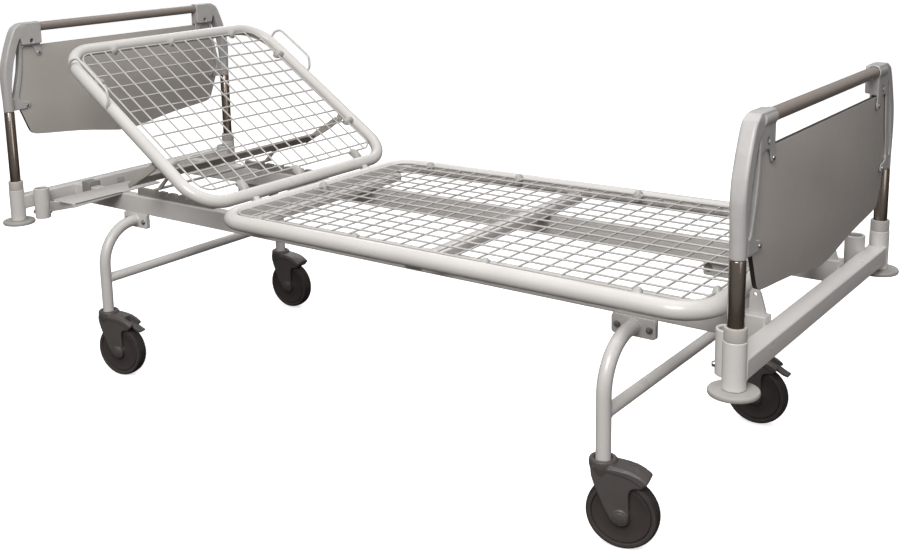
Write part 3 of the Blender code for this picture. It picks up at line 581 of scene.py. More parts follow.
# ================================================================ shared positions
POST_X = mid("board_post_near_foot").x
POST_Y = mid("board_post_far_foot").y
POST_LOW, POST_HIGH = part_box("board_post_near_foot")
POST_R = (POST_HIGH - POST_LOW).x / 2 + 0.0003
SOCKET_R, SOCKET_BORE, SOCKET_Z0, SOCKET_Z1 = 0.0207, 0.0152, 0.4134, 0.501
RAIL_Y0, RAIL_Y1, RAIL_Z0, RAIL_Z1 = 0.196, 0.226, 0.431, 0.481
BEAMS = {1: (1.025, 1.065, 0.4288, 0.467), -1: (-1.065, -1.029, 0.4442, 0.4826)}  # x0 x1 z0 z1
# The accessory sockets, just inboard of the post sockets.
ACC_X, ACC_Y, ACC_R, ACC_BORE, ACC_Z0, ACC_Z1 = 1.0095, 0.358, 0.0215, 0.0165, 0.412, 0.4985
LEG_X = {1: mid("foot_leg_frame").x, -1: mid("head_leg_frame").x}
LEG_Y = {1: 0.352, -1: 0.347}
LEG_TOP, LEG_BEND, CROSS_TUBE_Z = 0.412, 0.105, 0.270
GUSSET = 0.048  # half the length of the plates above the legs
HINGE = Vector(JOINTS["backrest_hinge"]["pos_m"])
HINGE_LUG_Y = (-0.200, 0.240)
BACK_ANGLE = radians(34.3)
RAISED = Matrix.Translation(HINGE) @ Matrix.Rotation(BACK_ANGLE, 4, "Y")
# The backrest before it is raised: its hinge-end tube (x, z), tube, half width and corner.
BACK_X, BACK_Z = -0.0298, 0.0045
BACK_R, BACK_Y, BACK_LENGTH, BACK_CORNER = 0.0165, 0.3713, 0.632, 0.090
# The prop pivot, from the backrest's hinge-end tube.
PROP_BACK, PROP_DROP = 0.200, 0.0265
SECTION_Z, SECTION_R = 0.514, 0.0188
SECTION_X0, SECTION_X1, SECTION_Y, SECTION_CORNER = -0.2726, 0.965, 0.366, 0.075
SECTION_LIFT = 0.0125  # wires above the foot section's tube line
WIRE_R, BACK_LIFT = 0.0023, 0.006


def at_post(end, side):
    return Matrix.Translation((end * POST_X, side * POST_Y, 0))


def at_accessory(end, side):
    return Matrix.Translation((end * ACC_X, side * ACC_Y, 0))


# ================================================================ main frame
def rails_and_beams(part):
    for side in (-1, 1):
        section = rounded_rect(*on_side(side, RAIL_Y0, RAIL_Y1), RAIL_Z0, RAIL_Z1, 0.0032)
        part.plate(section, -1.031, 1.027, "x", bevel=0)
    for end in (1, -1):
        part.plate(rounded_rect(*BEAMS[end], 0.0036), -POST_Y, POST_Y, bevel=0)


def corner_sockets(part):
    for end, side in CORNERS:
        r, b = SOCKET_R, SOCKET_BORE
        part.turned([(r - 0.0012, SOCKET_Z0), (r, SOCKET_Z0 + 0.0012), (r, SOCKET_Z1 - 0.0012),
                     (r - 0.0010, SOCKET_Z1), (b, SOCKET_Z1), (b, SOCKET_Z0)],
                    56, at_post(end, side), closed=True)
        r, b = ACC_R, ACC_BORE
        part.turned([(r - 0.0010, ACC_Z0), (r, ACC_Z0 + 0.0012), (r, ACC_Z1 - 0.0016),
                     (r - 0.0012, ACC_Z1), (b + 0.0008, ACC_Z1), (b, ACC_Z1 - 0.0008),
                     (b, ACC_Z0)], 56, at_accessory(end, side), closed=True)
        # Weld round the end of the cross beam, following the socket wall.
        x0, x1, z0, z1 = BEAMS[end]
        centre_x = at_post(end, side).translation.x
        loop = []
        for x, z in rounded_rect(x0 + 0.0005, x1 - 0.0005, z0, z1, 0.004, 4):
            offset = min(0.0206, abs(x - centre_x))
            y = POST_Y - sqrt(max(0.0, SOCKET_R ** 2 - offset * offset))
            loop.append((x, side * (y - 0.0004), z))
        part.weld(loop)


def rail_welds(part):
    for side in (-1, 1):
        for end in (1, -1):
            x0, x1, _, top = BEAMS[end]
            x = (x0 if end > 0 else x1) - end * 0.0005
            section = rounded_rect(*on_side(side, RAIL_Y0, RAIL_Y1), RAIL_Z0 + 0.001,
                                   min(top, RAIL_Z1), 0.003, 4)
            part.weld([(x, y, z) for y, z in section])


def ears_and_gussets(part):
    """Pierced ears on the foot end of the rails, and plates on the rails above the legs."""
    ear_x, ear_z, hole_z, hole_r = 0.9995, 0.5284, 0.5165, 0.0036
    base, top = (ear_x, 0.470), (ear_x, ear_z)
    hole = [(ear_x + hole_r * sin(radians(t)), hole_z + hole_r * cos(radians(t)))
            for t in range(0, 361, 15)]
    # Each ear is two halves that meet above and below the hole. Columns: x, z.
    foot_half = [base, (1.02, 0.47), (1.02, 0.486), (1.0105, 0.518), (1.007, 0.525),
                 top] + hole[:13]
    head_half = [top, (0.993, 0.5262), (0.9895, 0.519), (0.9892, 0.487), (0.972, 0.484),
                 (0.972, 0.47), base] + hole[12:]
    for side in (1, -1):
        y = side * 0.2055
        for half in (foot_half, head_half):
            part.plate(half, y - 0.003, y + 0.003, bevel=0)
        for end in (1, -1):
            x = LEG_X[end]
            part.plate(rounded_rect(x - GUSSET, x + GUSSET, 0.3915, 0.446, 0.005, 4),
                       *on_side(side, 0.2195, 0.2255), bevel=0.0006)


def main_frame():
    part = Shape()
    rails_and_beams(part)
    corner_sockets(part)
    rail_welds(part)
    ears_and_gussets(part)
    attach(part.make("main_frame_tubes", "enamel"), "frame", "enamel", "main_frame")

    lining = Shape()
    outer, inner = ACC_BORE - 0.0002, ACC_BORE - 0.0010
    low, top = ACC_Z0 + 0.006, ACC_Z1 - 0.0022
    for end, side in CORNERS:
        lining.turned([(outer, low), (outer, top), (inner, top), (inner, ACC_Z0 + 0.007),
                       (0.0, ACC_Z0 + 0.007), (0.0, low)], 40, at_accessory(end, side))
    attach(lining.make("socket_insides", "collar"), "frame", "enamel")

    screws = Shape()
    for end, side in CORNERS:
        directions = [(-0.90, side * 0.43, 0)]
        if end < 0:
            directions = [(-0.77, side * 0.64, 0), (0.77, -side * 0.64, 0)]
        for out in map(Vector, directions):
            point = Vector((end * ACC_X, side * ACC_Y, 0.43)) + out * (ACC_R - 0.0004)
            screw(screws, point, out, radius=0.0056, height=0.0056)
    attach(screws.make("socket_clamp_screws", "bolt"), "frame", "zinc")


def leg_frames():
    for end_name, end in ENDS.items():
        node = end_name + "_leg_frame"
        part = Shape()
        x, y = LEG_X[end], LEG_Y[end]
        for side in (-1, 1):
            arc = [(x, side * (y - LEG_BEND + LEG_BEND * cos(radians(a))),
                    LEG_TOP - LEG_BEND + LEG_BEND * sin(radians(a))) for a in range(0, 91, 6)]
            path = [(x, side * y, 0.1766)] + arc + [(x, side * 0.2296, LEG_TOP)]
            part.sweep(path, 0.015, 36)
            part.plate(rounded_rect(x - GUSSET, x + GUSSET, 0.3912, 0.4316, 0.006, 5),
                       *on_side(side, 0.2264, 0.2314), bevel=0.0007)
            bead(part, (x, side * 0.2318, LEG_TOP), (0, side, 0), 0.0152, 0.0022)
            bead(part, (x, side * (y - 0.0135), CROSS_TUBE_Z), (0, side, 0), 0.0122, 0.0017)
        part.rod((x, -y + 0.004, CROSS_TUBE_Z), (x, y - 0.004, CROSS_TUBE_Z), 0.0128)
        attach(part.make(node + "_tubes", "enamel"), "frame", "enamel", node)


def leg_bolts():
    for side_name, side in SIDES.items():
        for end_name in ENDS:
            place = f"{side_name}_{end_name}"
            nodes = [f"leg_bolt_{place}_{tag}" for tag in ("inner", "outer")]
            part = Shape()
            for node in nodes:
                x, _, z = mid(node)
                hexbolt(part, (x, side * 0.2313, z), (0, side, 0),
                        radius=0.0056, height=0.0056, washer=0.0074)
                part.rod((x, side * 0.2110, z), (x, side * 0.2316, z), 0.0038, 20)
                hexbolt(part, (x, side * 0.2196, z), (0, -side, 0),
                        radius=0.0070, height=0.0060, washer=0.0098)
            attach(part.make("leg_bolts_" + place, "bolt"), "frame", "zinc", *nodes)


# ================================================================ lying surface
def wire_mesh(x0, x1, y, z, corner, xs, ys, matrix=None):
    """Round wires at xs and ys, one layer on the other, inside a round-cornered border."""
    part = Shape()
    part.sweep(ring_path(x0, x1, y, z, corner, 10), WIRE_R * 1.10, 14, True, matrix)

    def inset(place, low, high):
        """How far the border's round corner pulls in at a place along it."""
        gap = min(place - low, high - place)
        if gap >= corner:
            return 0.0
        return corner - sqrt(max(0.0, corner ** 2 - (corner - gap) ** 2))

    def wire(path):
        part.sweep(path, WIRE_R, 12, matrix=matrix, cap=0.0004)

    for x in xs:
        half = y - inset(x, x0, x1)
        wire([(x, -half - 0.0004, z - 0.0016), (x, -half + 0.05, z - 0.0018),
              (x, 0.0, z - 0.0019),
              (x, half - 0.05, z - 0.0018), (x, half + 0.0004, z - 0.0016)])
    for wire_y in ys:
        short = inset(wire_y, -y, y)
        low, high = x0 + short, x1 - short
        wire([(low - 0.0004, wire_y, z + 0.0012), ((low + high) / 2, wire_y, z + 0.0014),
              (high + 0.0004, wire_y, z + 0.0012)])
    return part


def clip(part, centre, inward, reach, lift, tube, matrix=Matrix()):
    """A thick tongue from the tube that swells into a round cap over the border wire."""
    x, y, z = centre
    ix, iy = inward
    matrix = matrix @ Matrix(((ix, -iy, 0, x), (iy, ix, 0, y), (0, 0, 1, z), (0, 0, 0, 1)))
    half_length, edge, skirt = 0.012, 0.0014, 0.0040
    root, tip, top = tube * 0.45, reach + 0.0085, lift + 0.0112
    rows = []
    for k in range(15):
        place = -1 + 2 * k / 14
        swell = sqrt(max(0.0, 1 - abs(place) ** 2.6))
        height = edge + (top - edge) * swell
        row_tip = root + (tip - root) * (0.55 + 0.45 * swell)
        row = []
        for i in range(21):
            a = pi * i / 20
            row.append(((root + row_tip) / 2 - cos(a) * (row_tip - root) / 2,
                        place * half_length,
                        -skirt * swell + (height + skirt * swell) * sin(a) ** 0.62))
        rows.append(row)
    part.absorb(loft(rows), matrix)
    width = half_length * 1.06
    part.box(reach - 0.0034, reach + 0.0034, -width, width, lift - 0.0052, lift + 0.0006,
             0.0012, 2, matrix)


def foot_section():
    part = Shape()
    part.sweep(ring_path(SECTION_X0, SECTION_X1, SECTION_Y, SECTION_Z, SECTION_CORNER),
               SECTION_R, 44, True)
    # Flat cross bars: x0, x1, half width.
    for x0, x1, half in ((0.290, 0.330, SECTION_Y - 0.0125), (-0.262, -0.224, SECTION_Y - 0.062)):
        part.plate(rounded_rect(x0, x1, 0.4822, 0.5045, 0.003), -half, half, bevel=0)
    for side in (1, -1):
        y = side * 0.211
        part.box(0.935, 0.965, y - 0.014, y + 0.014, 0.4817, 0.5050, 0.0012)
    for y in HINGE_LUG_Y:
        for face in (-1, 1):
            ends = sorted((y + face * 0.0095, y + face * 0.0145))
            part.plate(capsule((HINGE.x, HINGE.z), (SECTION_X0, SECTION_Z), 0.0098),
                       *ends, bevel=0.0006)
    attach(part.make("foot_section_tubes", "enamel"), "frame", "enamel", "foot_section_frame")

    # Clips: x, y, inward direction, reach.
    places = [(x, side * SECTION_Y, (0, -side), 0.0260)
              for x in (-0.15, 0.143, 0.49, 0.829) for side in (1, -1)]
    places += [(SECTION_X1, y, (-1, 0), 0.0190) for y in (-0.258, 0.258)]
    places.append((SECTION_X0, 0.0, (1, 0), 0.0260))
    clips = Shape()
    for x, y, inward, reach in places:
        clip(clips, (x, y, SECTION_Z), inward, reach, SECTION_LIFT, SECTION_R)
    attach(clips.make("foot_section_clips", "clip"), "frame", "enamel")

    half = 0.34
    wires = wire_mesh(-0.2466, 0.9460, half, SECTION_Z + SECTION_LIFT, 0.036,
                      xs=[-0.1936 + 0.05 * k for k in range(23)],
                      ys=[-half + 2 * half * k / 14 for k in range(1, 14)])
    attach(wires.make("foot_section_wires", "wire"), "frame", "enamel", "foot_section_mesh")


# Wire loop on each side tube of the backrest: x and z from the hinge-end tube, and y from
# the side tube's centre.
SIDE_LOOP = [
    (-0.396, 0.0115, -0.002), (-0.395, 0.0172, 0.012), (-0.3985, 0.0172, 0.026),
    (-0.412, 0.0172, 0.042), (-0.428, 0.0172, 0.0468), (-0.484, 0.0172, 0.0472),
    (-0.54, 0.0172, 0.0468), (-0.556, 0.0172, 0.042), (-0.5695, 0.0172, 0.026),
    (-0.572, 0.0172, 0.012), (-0.571, 0.0115, -0.002)]


def backrest():
    part = Shape()
    head_x = BACK_X - BACK_LENGTH
    part.sweep(ring_path(head_x, BACK_X, BACK_Y, BACK_Z, BACK_CORNER), BACK_R, 40, True, RAISED)

    # Clips: x, y, inward direction, reach.
    places = []
    for y in (-0.210, 0.000, 0.245):
        places += [(BACK_X, y, (-1, 0), 0.0422), (head_x, y, (1, 0), 0.0238)]
    places += [(BACK_X - back, side * BACK_Y, (0, -side), 0.0348)
               for back in (0.16, 0.49) for side in (1, -1)]
    clips = Shape()
    for x, y, inward, reach in places:
        clip(clips, (x, y, BACK_Z), inward, reach, BACK_LIFT, BACK_R, RAISED)
    attach(clips.make("backrest_clips", "clip"), "backrest", "enamel")

    for y in HINGE_LUG_Y:
        part.plate(capsule((0.0, 0.0), (BACK_X, BACK_Z), 0.0078), y - 0.008, y + 0.008,
                   bevel=0.0006, matrix=RAISED)
    for side in (1, -1):
        x = BACK_X - PROP_BACK
        part.plate(capsule((x, BACK_Z - PROP_DROP), (x, BACK_Z), 0.0095),
                   *on_side(side, 0.3575, 0.3635), bevel=0.0006, matrix=RAISED)
        loop = [(BACK_X + x, side * (BACK_Y + y), BACK_Z + z) for x, y, z in SIDE_LOOP]
        part.sweep(spline(loop, 5, closed=False), 0.0034, 14, matrix=RAISED)
    attach(part.make("backrest_tubes", "enamel"), "backrest", "enamel", "backrest_frame")

    wires = wire_mesh(-0.6380, -0.0720, 0.3365, BACK_Z + BACK_LIFT, 0.040,
                      xs=[-0.595 + 0.0503 * k for k in range(11)],
                      ys=[-0.2952 + 0.0492 * k for k in range(13)], matrix=RAISED)
    attach(wires.make("backrest_wires", "wire"), "backrest", "enamel", "backrest_mesh")


# The prop: slope with the backrest flat, turn against the backrest per radian of its raise,
# and length from pivot to toe rod.
PROP_FLAT_DIP, PROP_RATIO, PROP_LENGTH = radians(-4.39), 2.1648, 0.2026
# Side arm of the prop, from its pivot. Columns: x, z.
PROP_ARM = [
    (0.0095, 0.0), (0.0088, 0.0036), (0.0067, 0.0067), (0.0036, 0.0088), (0.0, 0.0095),
    (-0.03, 0.0108), (-0.062, 0.0138), (-0.095, 0.0155), (-0.146, 0.015), (-0.15, 0.004),
    (-0.1, -0.001), (-0.062, -0.0062), (-0.03, -0.0088), (0.0, -0.0095),
    (0.0036, -0.0088), (0.0067, -0.0067), (0.0088, -0.0036)]
# One notch of the ratchet comb: x from the notch's start, z.
NOTCH = [(0.0012, 0.502), (0.0, 0.501), (-0.0015, 0.4945), (-0.0028, 0.4936),
         (-0.0095, 0.4936), (-0.0106, 0.4945), (-0.0135, 0.5012), (-0.015, 0.502)]
NOTCH_START, NOTCH_PITCH, NOTCH_COUNT = -0.467, 0.040, 6


def prop():
    pivot = RAISED @ Vector((BACK_X - PROP_BACK, 0, BACK_Z - PROP_DROP))
    dip = PROP_FLAT_DIP + (PROP_RATIO - 1.0) * BACK_ANGLE
    matrix = Matrix.Translation(pivot) @ Matrix.Rotation(-dip, 4, "Y")
    toe_x = -PROP_LENGTH
    toe = [(-0.1, 0.0125), (-0.1, 0.0055), (-0.15, 0.0045), (toe_x + 0.004, -0.0035),
           (toe_x - 0.0015, -0.0042), (toe_x - 0.005, -0.0024), (toe_x - 0.0062, 0.0),
           (toe_x - 0.0054, 0.0034), (toe_x - 0.003, 0.0055), (-0.15, 0.0125)]
    part = Shape()
    part.box(-0.146, -0.098, -0.3505, 0.3505, 0.0052, 0.0128, 0.0014, matrix=matrix)
    for side in (1, -1):
        for outline, inner, outer in ((PROP_ARM, 0.3455, 0.3515), (toe, 0.2075, 0.2145)):
            part.plate(outline, *on_side(side, inner, outer), bevel=0.0007, matrix=matrix)
    part.rod((toe_x, -0.232, 0), (toe_x, 0.232, 0), 0.0040, 24, matrix=matrix)
    attach(part.make("prop_frame_bars", "prop"), "prop", "dark_steel", "prop_frame")


def ratchet_combs():
    outline = [(-0.452, 0.4816), (-0.452, 0.5008), (-0.4535, 0.502)]
    for k in range(NOTCH_COUNT):
        start = NOTCH_START - NOTCH_PITCH * k
        outline += [(start + x, z) for x, z in NOTCH]
    outline += [(-0.7515, 0.502), (-0.757, 0.4965), (-0.757, 0.4816)]
    for name, side in SIDES.items():
        part = Shape().plate(outline, *on_side(side, 0.2052, 0.2168), bevel=0.0005)
        attach(part.make(f"ratchet_comb_{name}_cut", "dark_steel"),
               "frame", "dark_steel", f"ratchet_comb_{name}")


def head_bracket():
    """A folded tray with a slanting bar, the clamp over the near rail, and a beam plug."""
    tray = Shape()
    tray.plate(rounded_rect(-0.9048, -0.8122, -0.3938, -0.0852, 0.005, 4),
               0.4819, 0.4861, "z", bevel=0.0007)
    tray.plate([(-0.3936, 0.4858), (-0.3936, 0.475), (-0.3925, 0.474), (-0.228, 0.479),
                (-0.228, 0.4858)], -0.8176, -0.8122, "x", bevel=0.0010, segments=3)
    slant = Matrix.Translation((-0.98865, -0.34566, 0.0)) @ Matrix.Rotation(-0.2614, 4, "Z")
    tray.plate([(0.0, 0.43), (0.0, 0.4595), (0.001, 0.4605), (0.14, 0.4785), (0.154, 0.485),
                (0.176, 0.485), (0.176, 0.4735), (0.001, 0.429)],
               -0.0020, 0.0020, bevel=0.0006, matrix=slant)
    attach(tray.make("head_tray_folded", "enamel"), "frame", "enamel", "head_tray")

    saddle = [
        (-0.2305, 0.4456), (-0.2299, 0.445), (-0.2265, 0.445), (-0.2265, 0.4815),
        (-0.1955, 0.4815), (-0.1955, 0.445), (-0.1921, 0.445), (-0.1915, 0.4456),
        (-0.1915, 0.492), (-0.1922, 0.4938), (-0.1945, 0.495), (-0.2275, 0.495),
        (-0.2298, 0.4938), (-0.2305, 0.492)]
    clamp = Shape().plate(saddle, -0.9900, -0.9550, "x")
    attach(clamp.make("head_rail_clamp_moulded", "clamp"),
           "frame", "bumper_grey", "head_rail_clamp")

    plug = Shape().plate(rounded_rect(-0.0720, -0.0450, 0.4480, 0.4700, 0.0030, 3),
                         -1.0292, -1.0283, "x", bevel=0.0003)
    attach(plug.make("head_beam_plug", "clip"), "frame", "enamel")


# ================================================================ end boards
# Outlines of the board castings. Columns: y, z above the casting's foot.
OUTER = [
    (0.4298, 0.0), (0.4302, 0.075), (0.4292, 0.1), (0.4262, 0.1185), (0.4215, 0.1385),
    (0.415, 0.159), (0.4075, 0.18), (0.399, 0.2), (0.391, 0.218), (0.384, 0.229),
    (0.375, 0.2375), (0.362, 0.242), (0.345, 0.2432)]
INNER = [
    (0.4004, 0.0), (0.4004, 0.03), (0.4, 0.05), (0.39, 0.1), (0.38, 0.15), (0.3725, 0.18),
    (0.364, 0.2), (0.345, 0.212), (0.33, 0.244)]
LENS = [
    (0.366, 0.2), (0.3672, 0.175), (0.369, 0.15), (0.3745, 0.1126), (0.38, 0.09),
    (0.3855, 0.07), (0.3925, 0.046), (0.3985, 0.035), (0.4045, 0.034), (0.4085, 0.04),
    (0.4092, 0.053), (0.407, 0.075), (0.4025, 0.1025), (0.3965, 0.13), (0.388, 0.1567),
    (0.378, 0.183), (0.3705, 0.1985)]
RIB = [
    (0.406, 0.003), (0.408, 0.07), (0.39, 0.14), (0.372, 0.215), (0.35, 0.233),
    (0.2985, 0.233), (0.2962, 0.18), (0.2948, 0.166), (0.293, 0.159), (0.2938, 0.153),
    (0.2975, 0.1485), (0.303, 0.1468), (0.3088, 0.1487), (0.3128, 0.154), (0.316, 0.164),
    (0.3215, 0.1725), (0.33, 0.175), (0.35, 0.1752), (0.357, 0.171), (0.359, 0.15),
    (0.3615, 0.125), (0.3655, 0.098), (0.372, 0.07), (0.3785, 0.046), (0.3795, 0.036),
    (0.376, 0.028), (0.365, 0.024), (0.35, 0.0215), (0.3455, 0.018), (0.344, 0.012),
    (0.3455, 0.006), (0.351, 0.003), (0.37, 0.0016), (0.395, 0.001)]
TOP_BLOCK = [(0.2964, 0.2425), (0.2964, 0.184), (0.304, 0.1815), (0.36, 0.1815),
             (0.366, 0.202), (0.35, 0.2425)]
PANEL_GROOVE = [
    (0.2, 0.1795), (0.3632, 0.1795), (0.3635, 0.17), (0.3675, 0.13), (0.374, 0.09),
    (0.3775, 0.06), (0.3785, 0.03), (0.3772, -0.002), (0.3772, -0.1), (0.2, -0.1)]
# Far half of the foot board's panel. Columns: y, z.
PANEL_TOP = 0.8215
PANEL = [
    (0.0, 0.53), (0.04, 0.5325), (0.085, 0.5395), (0.13, 0.547), (0.18, 0.554),
    (0.23, 0.5592), (0.3, 0.5655), (0.33, 0.569), (0.3425, 0.5735), (0.3495, 0.5805),
    (0.356, 0.595), (0.3762, 0.644), (0.3775, 0.6744), (0.3765, 0.7044),
    (0.373, 0.7344), (0.3665, 0.7744), (0.3625, 0.8144), (0.362, PANEL_TOP)]
HANDLE_X, HANDLE_RISE, GRIP_R = 1.0470, 0.2280, 0.0158
SPIGOT_DROP = 0.0285


def width_at(profile, z):
    """The y of a profile at a height."""
    for (y0, z0), (y1, z1) in zip(profile, profile[1:]):
        if z0 <= z <= z1:
            return y0 + (y1 - y0) * (z - z0) / (z1 - z0)
    return profile[-1][0]


def casting_wall():
    """The curved upright: round at its foot, blending to nearly square above."""
    rings = []
    heights = [0.0, 0.0012] + [0.006 + 0.0058 * k for k in range(40)] + [0.2405, 0.2420, 0.2430]
    for z in heights:
        chamfer = 0.0012 if z == 0.0 else 0.0
        y1, y0 = width_at(OUTER, z) - chamfer, width_at(INNER, z) + chamfer
        half = 0.0146 - chamfer - (0.0020 * max(0.0, (z - 0.232) / 0.011))
        squareness = min(1.0, max(0.0, (z - 0.030) / 0.110))
        smaller = min(half, (y1 - y0) / 2)
        radius = (1 - squareness) * smaller * 0.999 + squareness * 0.0048
        radius = min(radius, smaller * 0.999)
        rings.append([(x, y, z) for x, y in rounded_rect(-half, half, y0, y1, radius, 7)])
    return Shape().absorb(loft(rings))


def casting_mesh():
    """One casting: x outwards from the post line, y outwards, z up from its foot."""
    grip_x = HANDLE_X - POST_X

    def plate(outline, x0, x1, bevel):
        return Shape().plate(outline, x0, x1, "x", bevel=bevel, segments=3)

    added = [
        casting_wall(),
        plate(RIB, 1.0410 - POST_X, 1.0592 - POST_X, 0.0018),
        plate(TOP_BLOCK, -0.0143, 0.0143, 0.0022),
        Shape().rod((grip_x, 0.2948, HANDLE_RISE), (grip_x, 0.35, HANDLE_RISE),
                    GRIP_R, 44, 0.0014)]
    cut = [
        plate(spline(LENS, 4), -0.035, 0.035, 0),
        # The handle bore.
        Shape().rod((grip_x, 0.27, HANDLE_RISE), (grip_x, 0.328, HANDLE_RISE), 0.0132, 44, 0),
        plate(PANEL_GROOVE, 1.0444 - POST_X, 1.0556 - POST_X, 0),
        # A small round hole through the casting.
        Shape().rod((-0.05, 0.33, 0.1915), (0.05, 0.33, 0.1915), 0.0062, 24, 0)]
    return solid(added, cut, 0.0013, "board_casting_body", "casting_grey")


def board_corner(casting, end_name, side_name, foot_z):
    """A casting with its chromed post and its screws."""
    end, side = ENDS[end_name], SIDES[side_name]
    place = f"{side_name}_{end_name}"
    body = end_name + "_board"
    matrix = (Matrix.Translation((end * POST_X, 0, foot_z))
              @ Matrix.Diagonal((end, side, 1, 1)))
    node = "board_casting_" + place
    attach(copy_of(casting, node + "_moulded", matrix), body, "casting_grey", node)

    post = Shape().turned([
        (0.0, 0.4192), (POST_R - 0.0015, 0.4192), (POST_R, 0.4207), (POST_R, foot_z - 0.0022),
        (POST_R - 0.0008, foot_z - 0.0008), (POST_R - 0.0022, foot_z - 0.0006),
        (0.0, foot_z - 0.0006)], 64, at_post(end, side))
    node = "board_post_" + place
    attach(post.make(node + "_chromed", "chrome"), body, "chrome", node)

    screws = Shape()
    # Slot 1 darkens the hex sockets of these screws: painted shade.
    for face, face_x in ((1, 1.0590), (-1, 1.0412)):
        for y, rise in ((0.3035, 0.1560), (0.3560, 0.0115)):
            screw(screws, (end * face_x, side * y, foot_z + rise), (end * face, 0, 0),
                  radius=0.0046, height=0.0028, recess=1)
    # The pin takes slot 1, the dark material painted as recess shade.
    y, z = side * 0.33, foot_z + 0.1855
    screws.rod((end * 1.04, y, z), (end * 1.06, y, z), 0.0026, 16, 0.0004, slot=1)
    attach(screws.make("board_screws_" + place, "zinc", "recess_shade"), body, "zinc")


def boards():
    casting = casting_mesh()
    for end_name, end in ENDS.items():
        body = end_name + "_board"
        foot_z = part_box(f"board_casting_near_{end_name}")[0].z + SPIGOT_DROP
        rise = foot_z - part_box("board_casting_near_foot")[0].z - SPIGOT_DROP
        for side_name in SIDES:
            board_corner(casting, end_name, side_name, foot_z)

        path = [(end * HANDLE_X, -0.3275 + 0.655 * i / 16, foot_z + HANDLE_RISE)
                for i in range(17)]
        handle = Shape().sweep(path, 0.0127, 48, cap=0.001)
        node = "board_handle_" + end_name
        attach(handle.make(node + "_tube", "grip_grey"), body, "grip_grey", node)

        outline = [(y, z + rise) for y, z in PANEL] + [(0.0, PANEL_TOP + rise)]
        outline += [(-y, z + rise) for y, z in reversed(PANEL[1:])]
        panel = Shape().plate(outline, *on_side(end, 1.0454, 1.0546), "x",
                              bevel=0.0011, segments=3)
        node = "board_panel_" + end_name
        attach(panel.make(node + "_laminated", "laminate"), body, "laminate", node)


def collars_and_bumpers():
    for end_name, end in ENDS.items():
        for side_name, side in SIDES.items():
            matrix = at_post(end, side)
            r, b, z0, z1 = 0.0198, POST_R + 0.0003, 0.5012, 0.526
            collar = Shape().turned([
                (r - 0.0006, z0), (r, z0 + 0.0008), (r, z1 - 0.0026), (r - 0.0008, z1 - 0.0008),
                (r - 0.0026, z1), (b + 0.0008, z1), (b, z1 - 0.0008), (b, z0)],
                64, matrix, closed=True)
            node = f"post_collar_{side_name}_{end_name}"
            attach(collar.make(node + "_moulded", "collar"), "frame", "bumper_grey", node)

            r, z0, z1 = 0.0446, 0.4028, 0.4131
            bumper = Shape().turned([
                (0.0, z0), (r - 0.004, z0), (r - 0.0014, z0 + 0.0008), (r - 0.0003, z0 + 0.0026),
                (r, z0 + 0.005), (r - 0.0003, z1 - 0.0026), (r - 0.0014, z1 - 0.0009),
                (r - 0.004, z1 - 0.0002), (r - 0.012, z1), (0.0, z1)], 96, matrix)
            bumper.turned([(0.0, z0), (0.01, z0), (0.01, z0 + 0.0004), (0.0, z0 + 0.0004)],
                          32, matrix)
            node = f"corner_bumper_{side_name}_{end_name}"
            attach(bumper.make(node + "_moulded", "bumper_grey"), "frame", "bumper_grey", node)


# ================================================================ casters
# Outlines of a caster. Columns: x from the swivel towards the axle, z.
CHEEK = [
    (-0.015, 0.1745), (-0.0195, 0.17), (-0.0205, 0.16), (-0.019, 0.148), (-0.0145, 0.1335),
    (-0.0093, 0.1205), (0.0058, 0.087), (0.019, 0.064), (0.024, 0.058), (0.03, 0.054),
    (0.0375, 0.052), (0.045, 0.0525), (0.0515, 0.056), (0.0552, 0.0625), (0.0563, 0.072),
    (0.0555, 0.095), (0.055, 0.112), (0.0553, 0.121), (0.0575, 0.128), (0.062, 0.133),
    (0.069, 0.1355), (0.079, 0.1368), (0.085, 0.1405), (0.0875, 0.1455), (0.088, 0.152),
    (0.08, 0.162), (0.064, 0.169), (0.045, 0.1725), (0.02, 0.1745)]
HOOD = [
    (-0.015, 0.166), (0.02, 0.162), (0.045, 0.159), (0.064, 0.1545), (0.078, 0.147),
    (0.085, 0.1425), (0.088, 0.148), (0.0925, 0.1508), (0.0946, 0.1545), (0.0925, 0.1588),
    (0.086, 0.1628), (0.0718, 0.1684), (0.0524, 0.1724), (0.03, 0.1742), (-0.015, 0.1745)]
PEDAL = [
    (0.0672, 0.153), (0.0725, 0.1558), (0.09, 0.1495), (0.104, 0.142), (0.1148, 0.1375),
    (0.114, 0.1328), (0.102, 0.1355), (0.09, 0.142), (0.076, 0.1475), (0.0682, 0.148)]
# Turned profiles. Columns: radius, height along the turning axis.
SWIVEL_CUP = [
    (0.0, 0.142), (0.0215, 0.142), (0.0238, 0.15), (0.0262, 0.159), (0.0277, 0.1655),
    (0.0281, 0.171), (0.0278, 0.177), (0.0266, 0.18), (0.024, 0.1815), (0.0205, 0.1812),
    (0.0182, 0.1798), (0.0178, 0.1762), (0.0, 0.1762)]
AXLE_CAP = [(0.0, 0.0), (0.0098, 0.0), (0.0098, 0.0008), (0.0088, 0.0016), (0.006, 0.002),
            (0.0, 0.0021)]
HALF_TREAD = [(0.064, -0.013), (0.0676, -0.0158), (0.0688, -0.0155), (0.0702, -0.0138),
              (0.0713, -0.0112), (0.072, -0.0078), (0.0724, -0.004)]
RIM = [(0.0597, 0.01), (0.0597, 0.0146), (0.0604, 0.0156), (0.0616, 0.016),
       (0.0662, 0.0162), (0.0672, 0.016), (0.0679, 0.0154), (0.068, 0.01)]
HALF_HUB = [
    (0.007, 0.017), (0.015, 0.017), (0.0162, 0.0164), (0.0172, 0.0142), (0.019, 0.013),
    (0.042, 0.0128), (0.048, 0.0134), (0.054, 0.0147), (0.0562, 0.0151), (0.0574, 0.0149),
    (0.058, 0.014), (0.0583, 0.012), (0.0596, 0.012)]
WHEEL_R, TRAIL = 0.0725, 0.0395


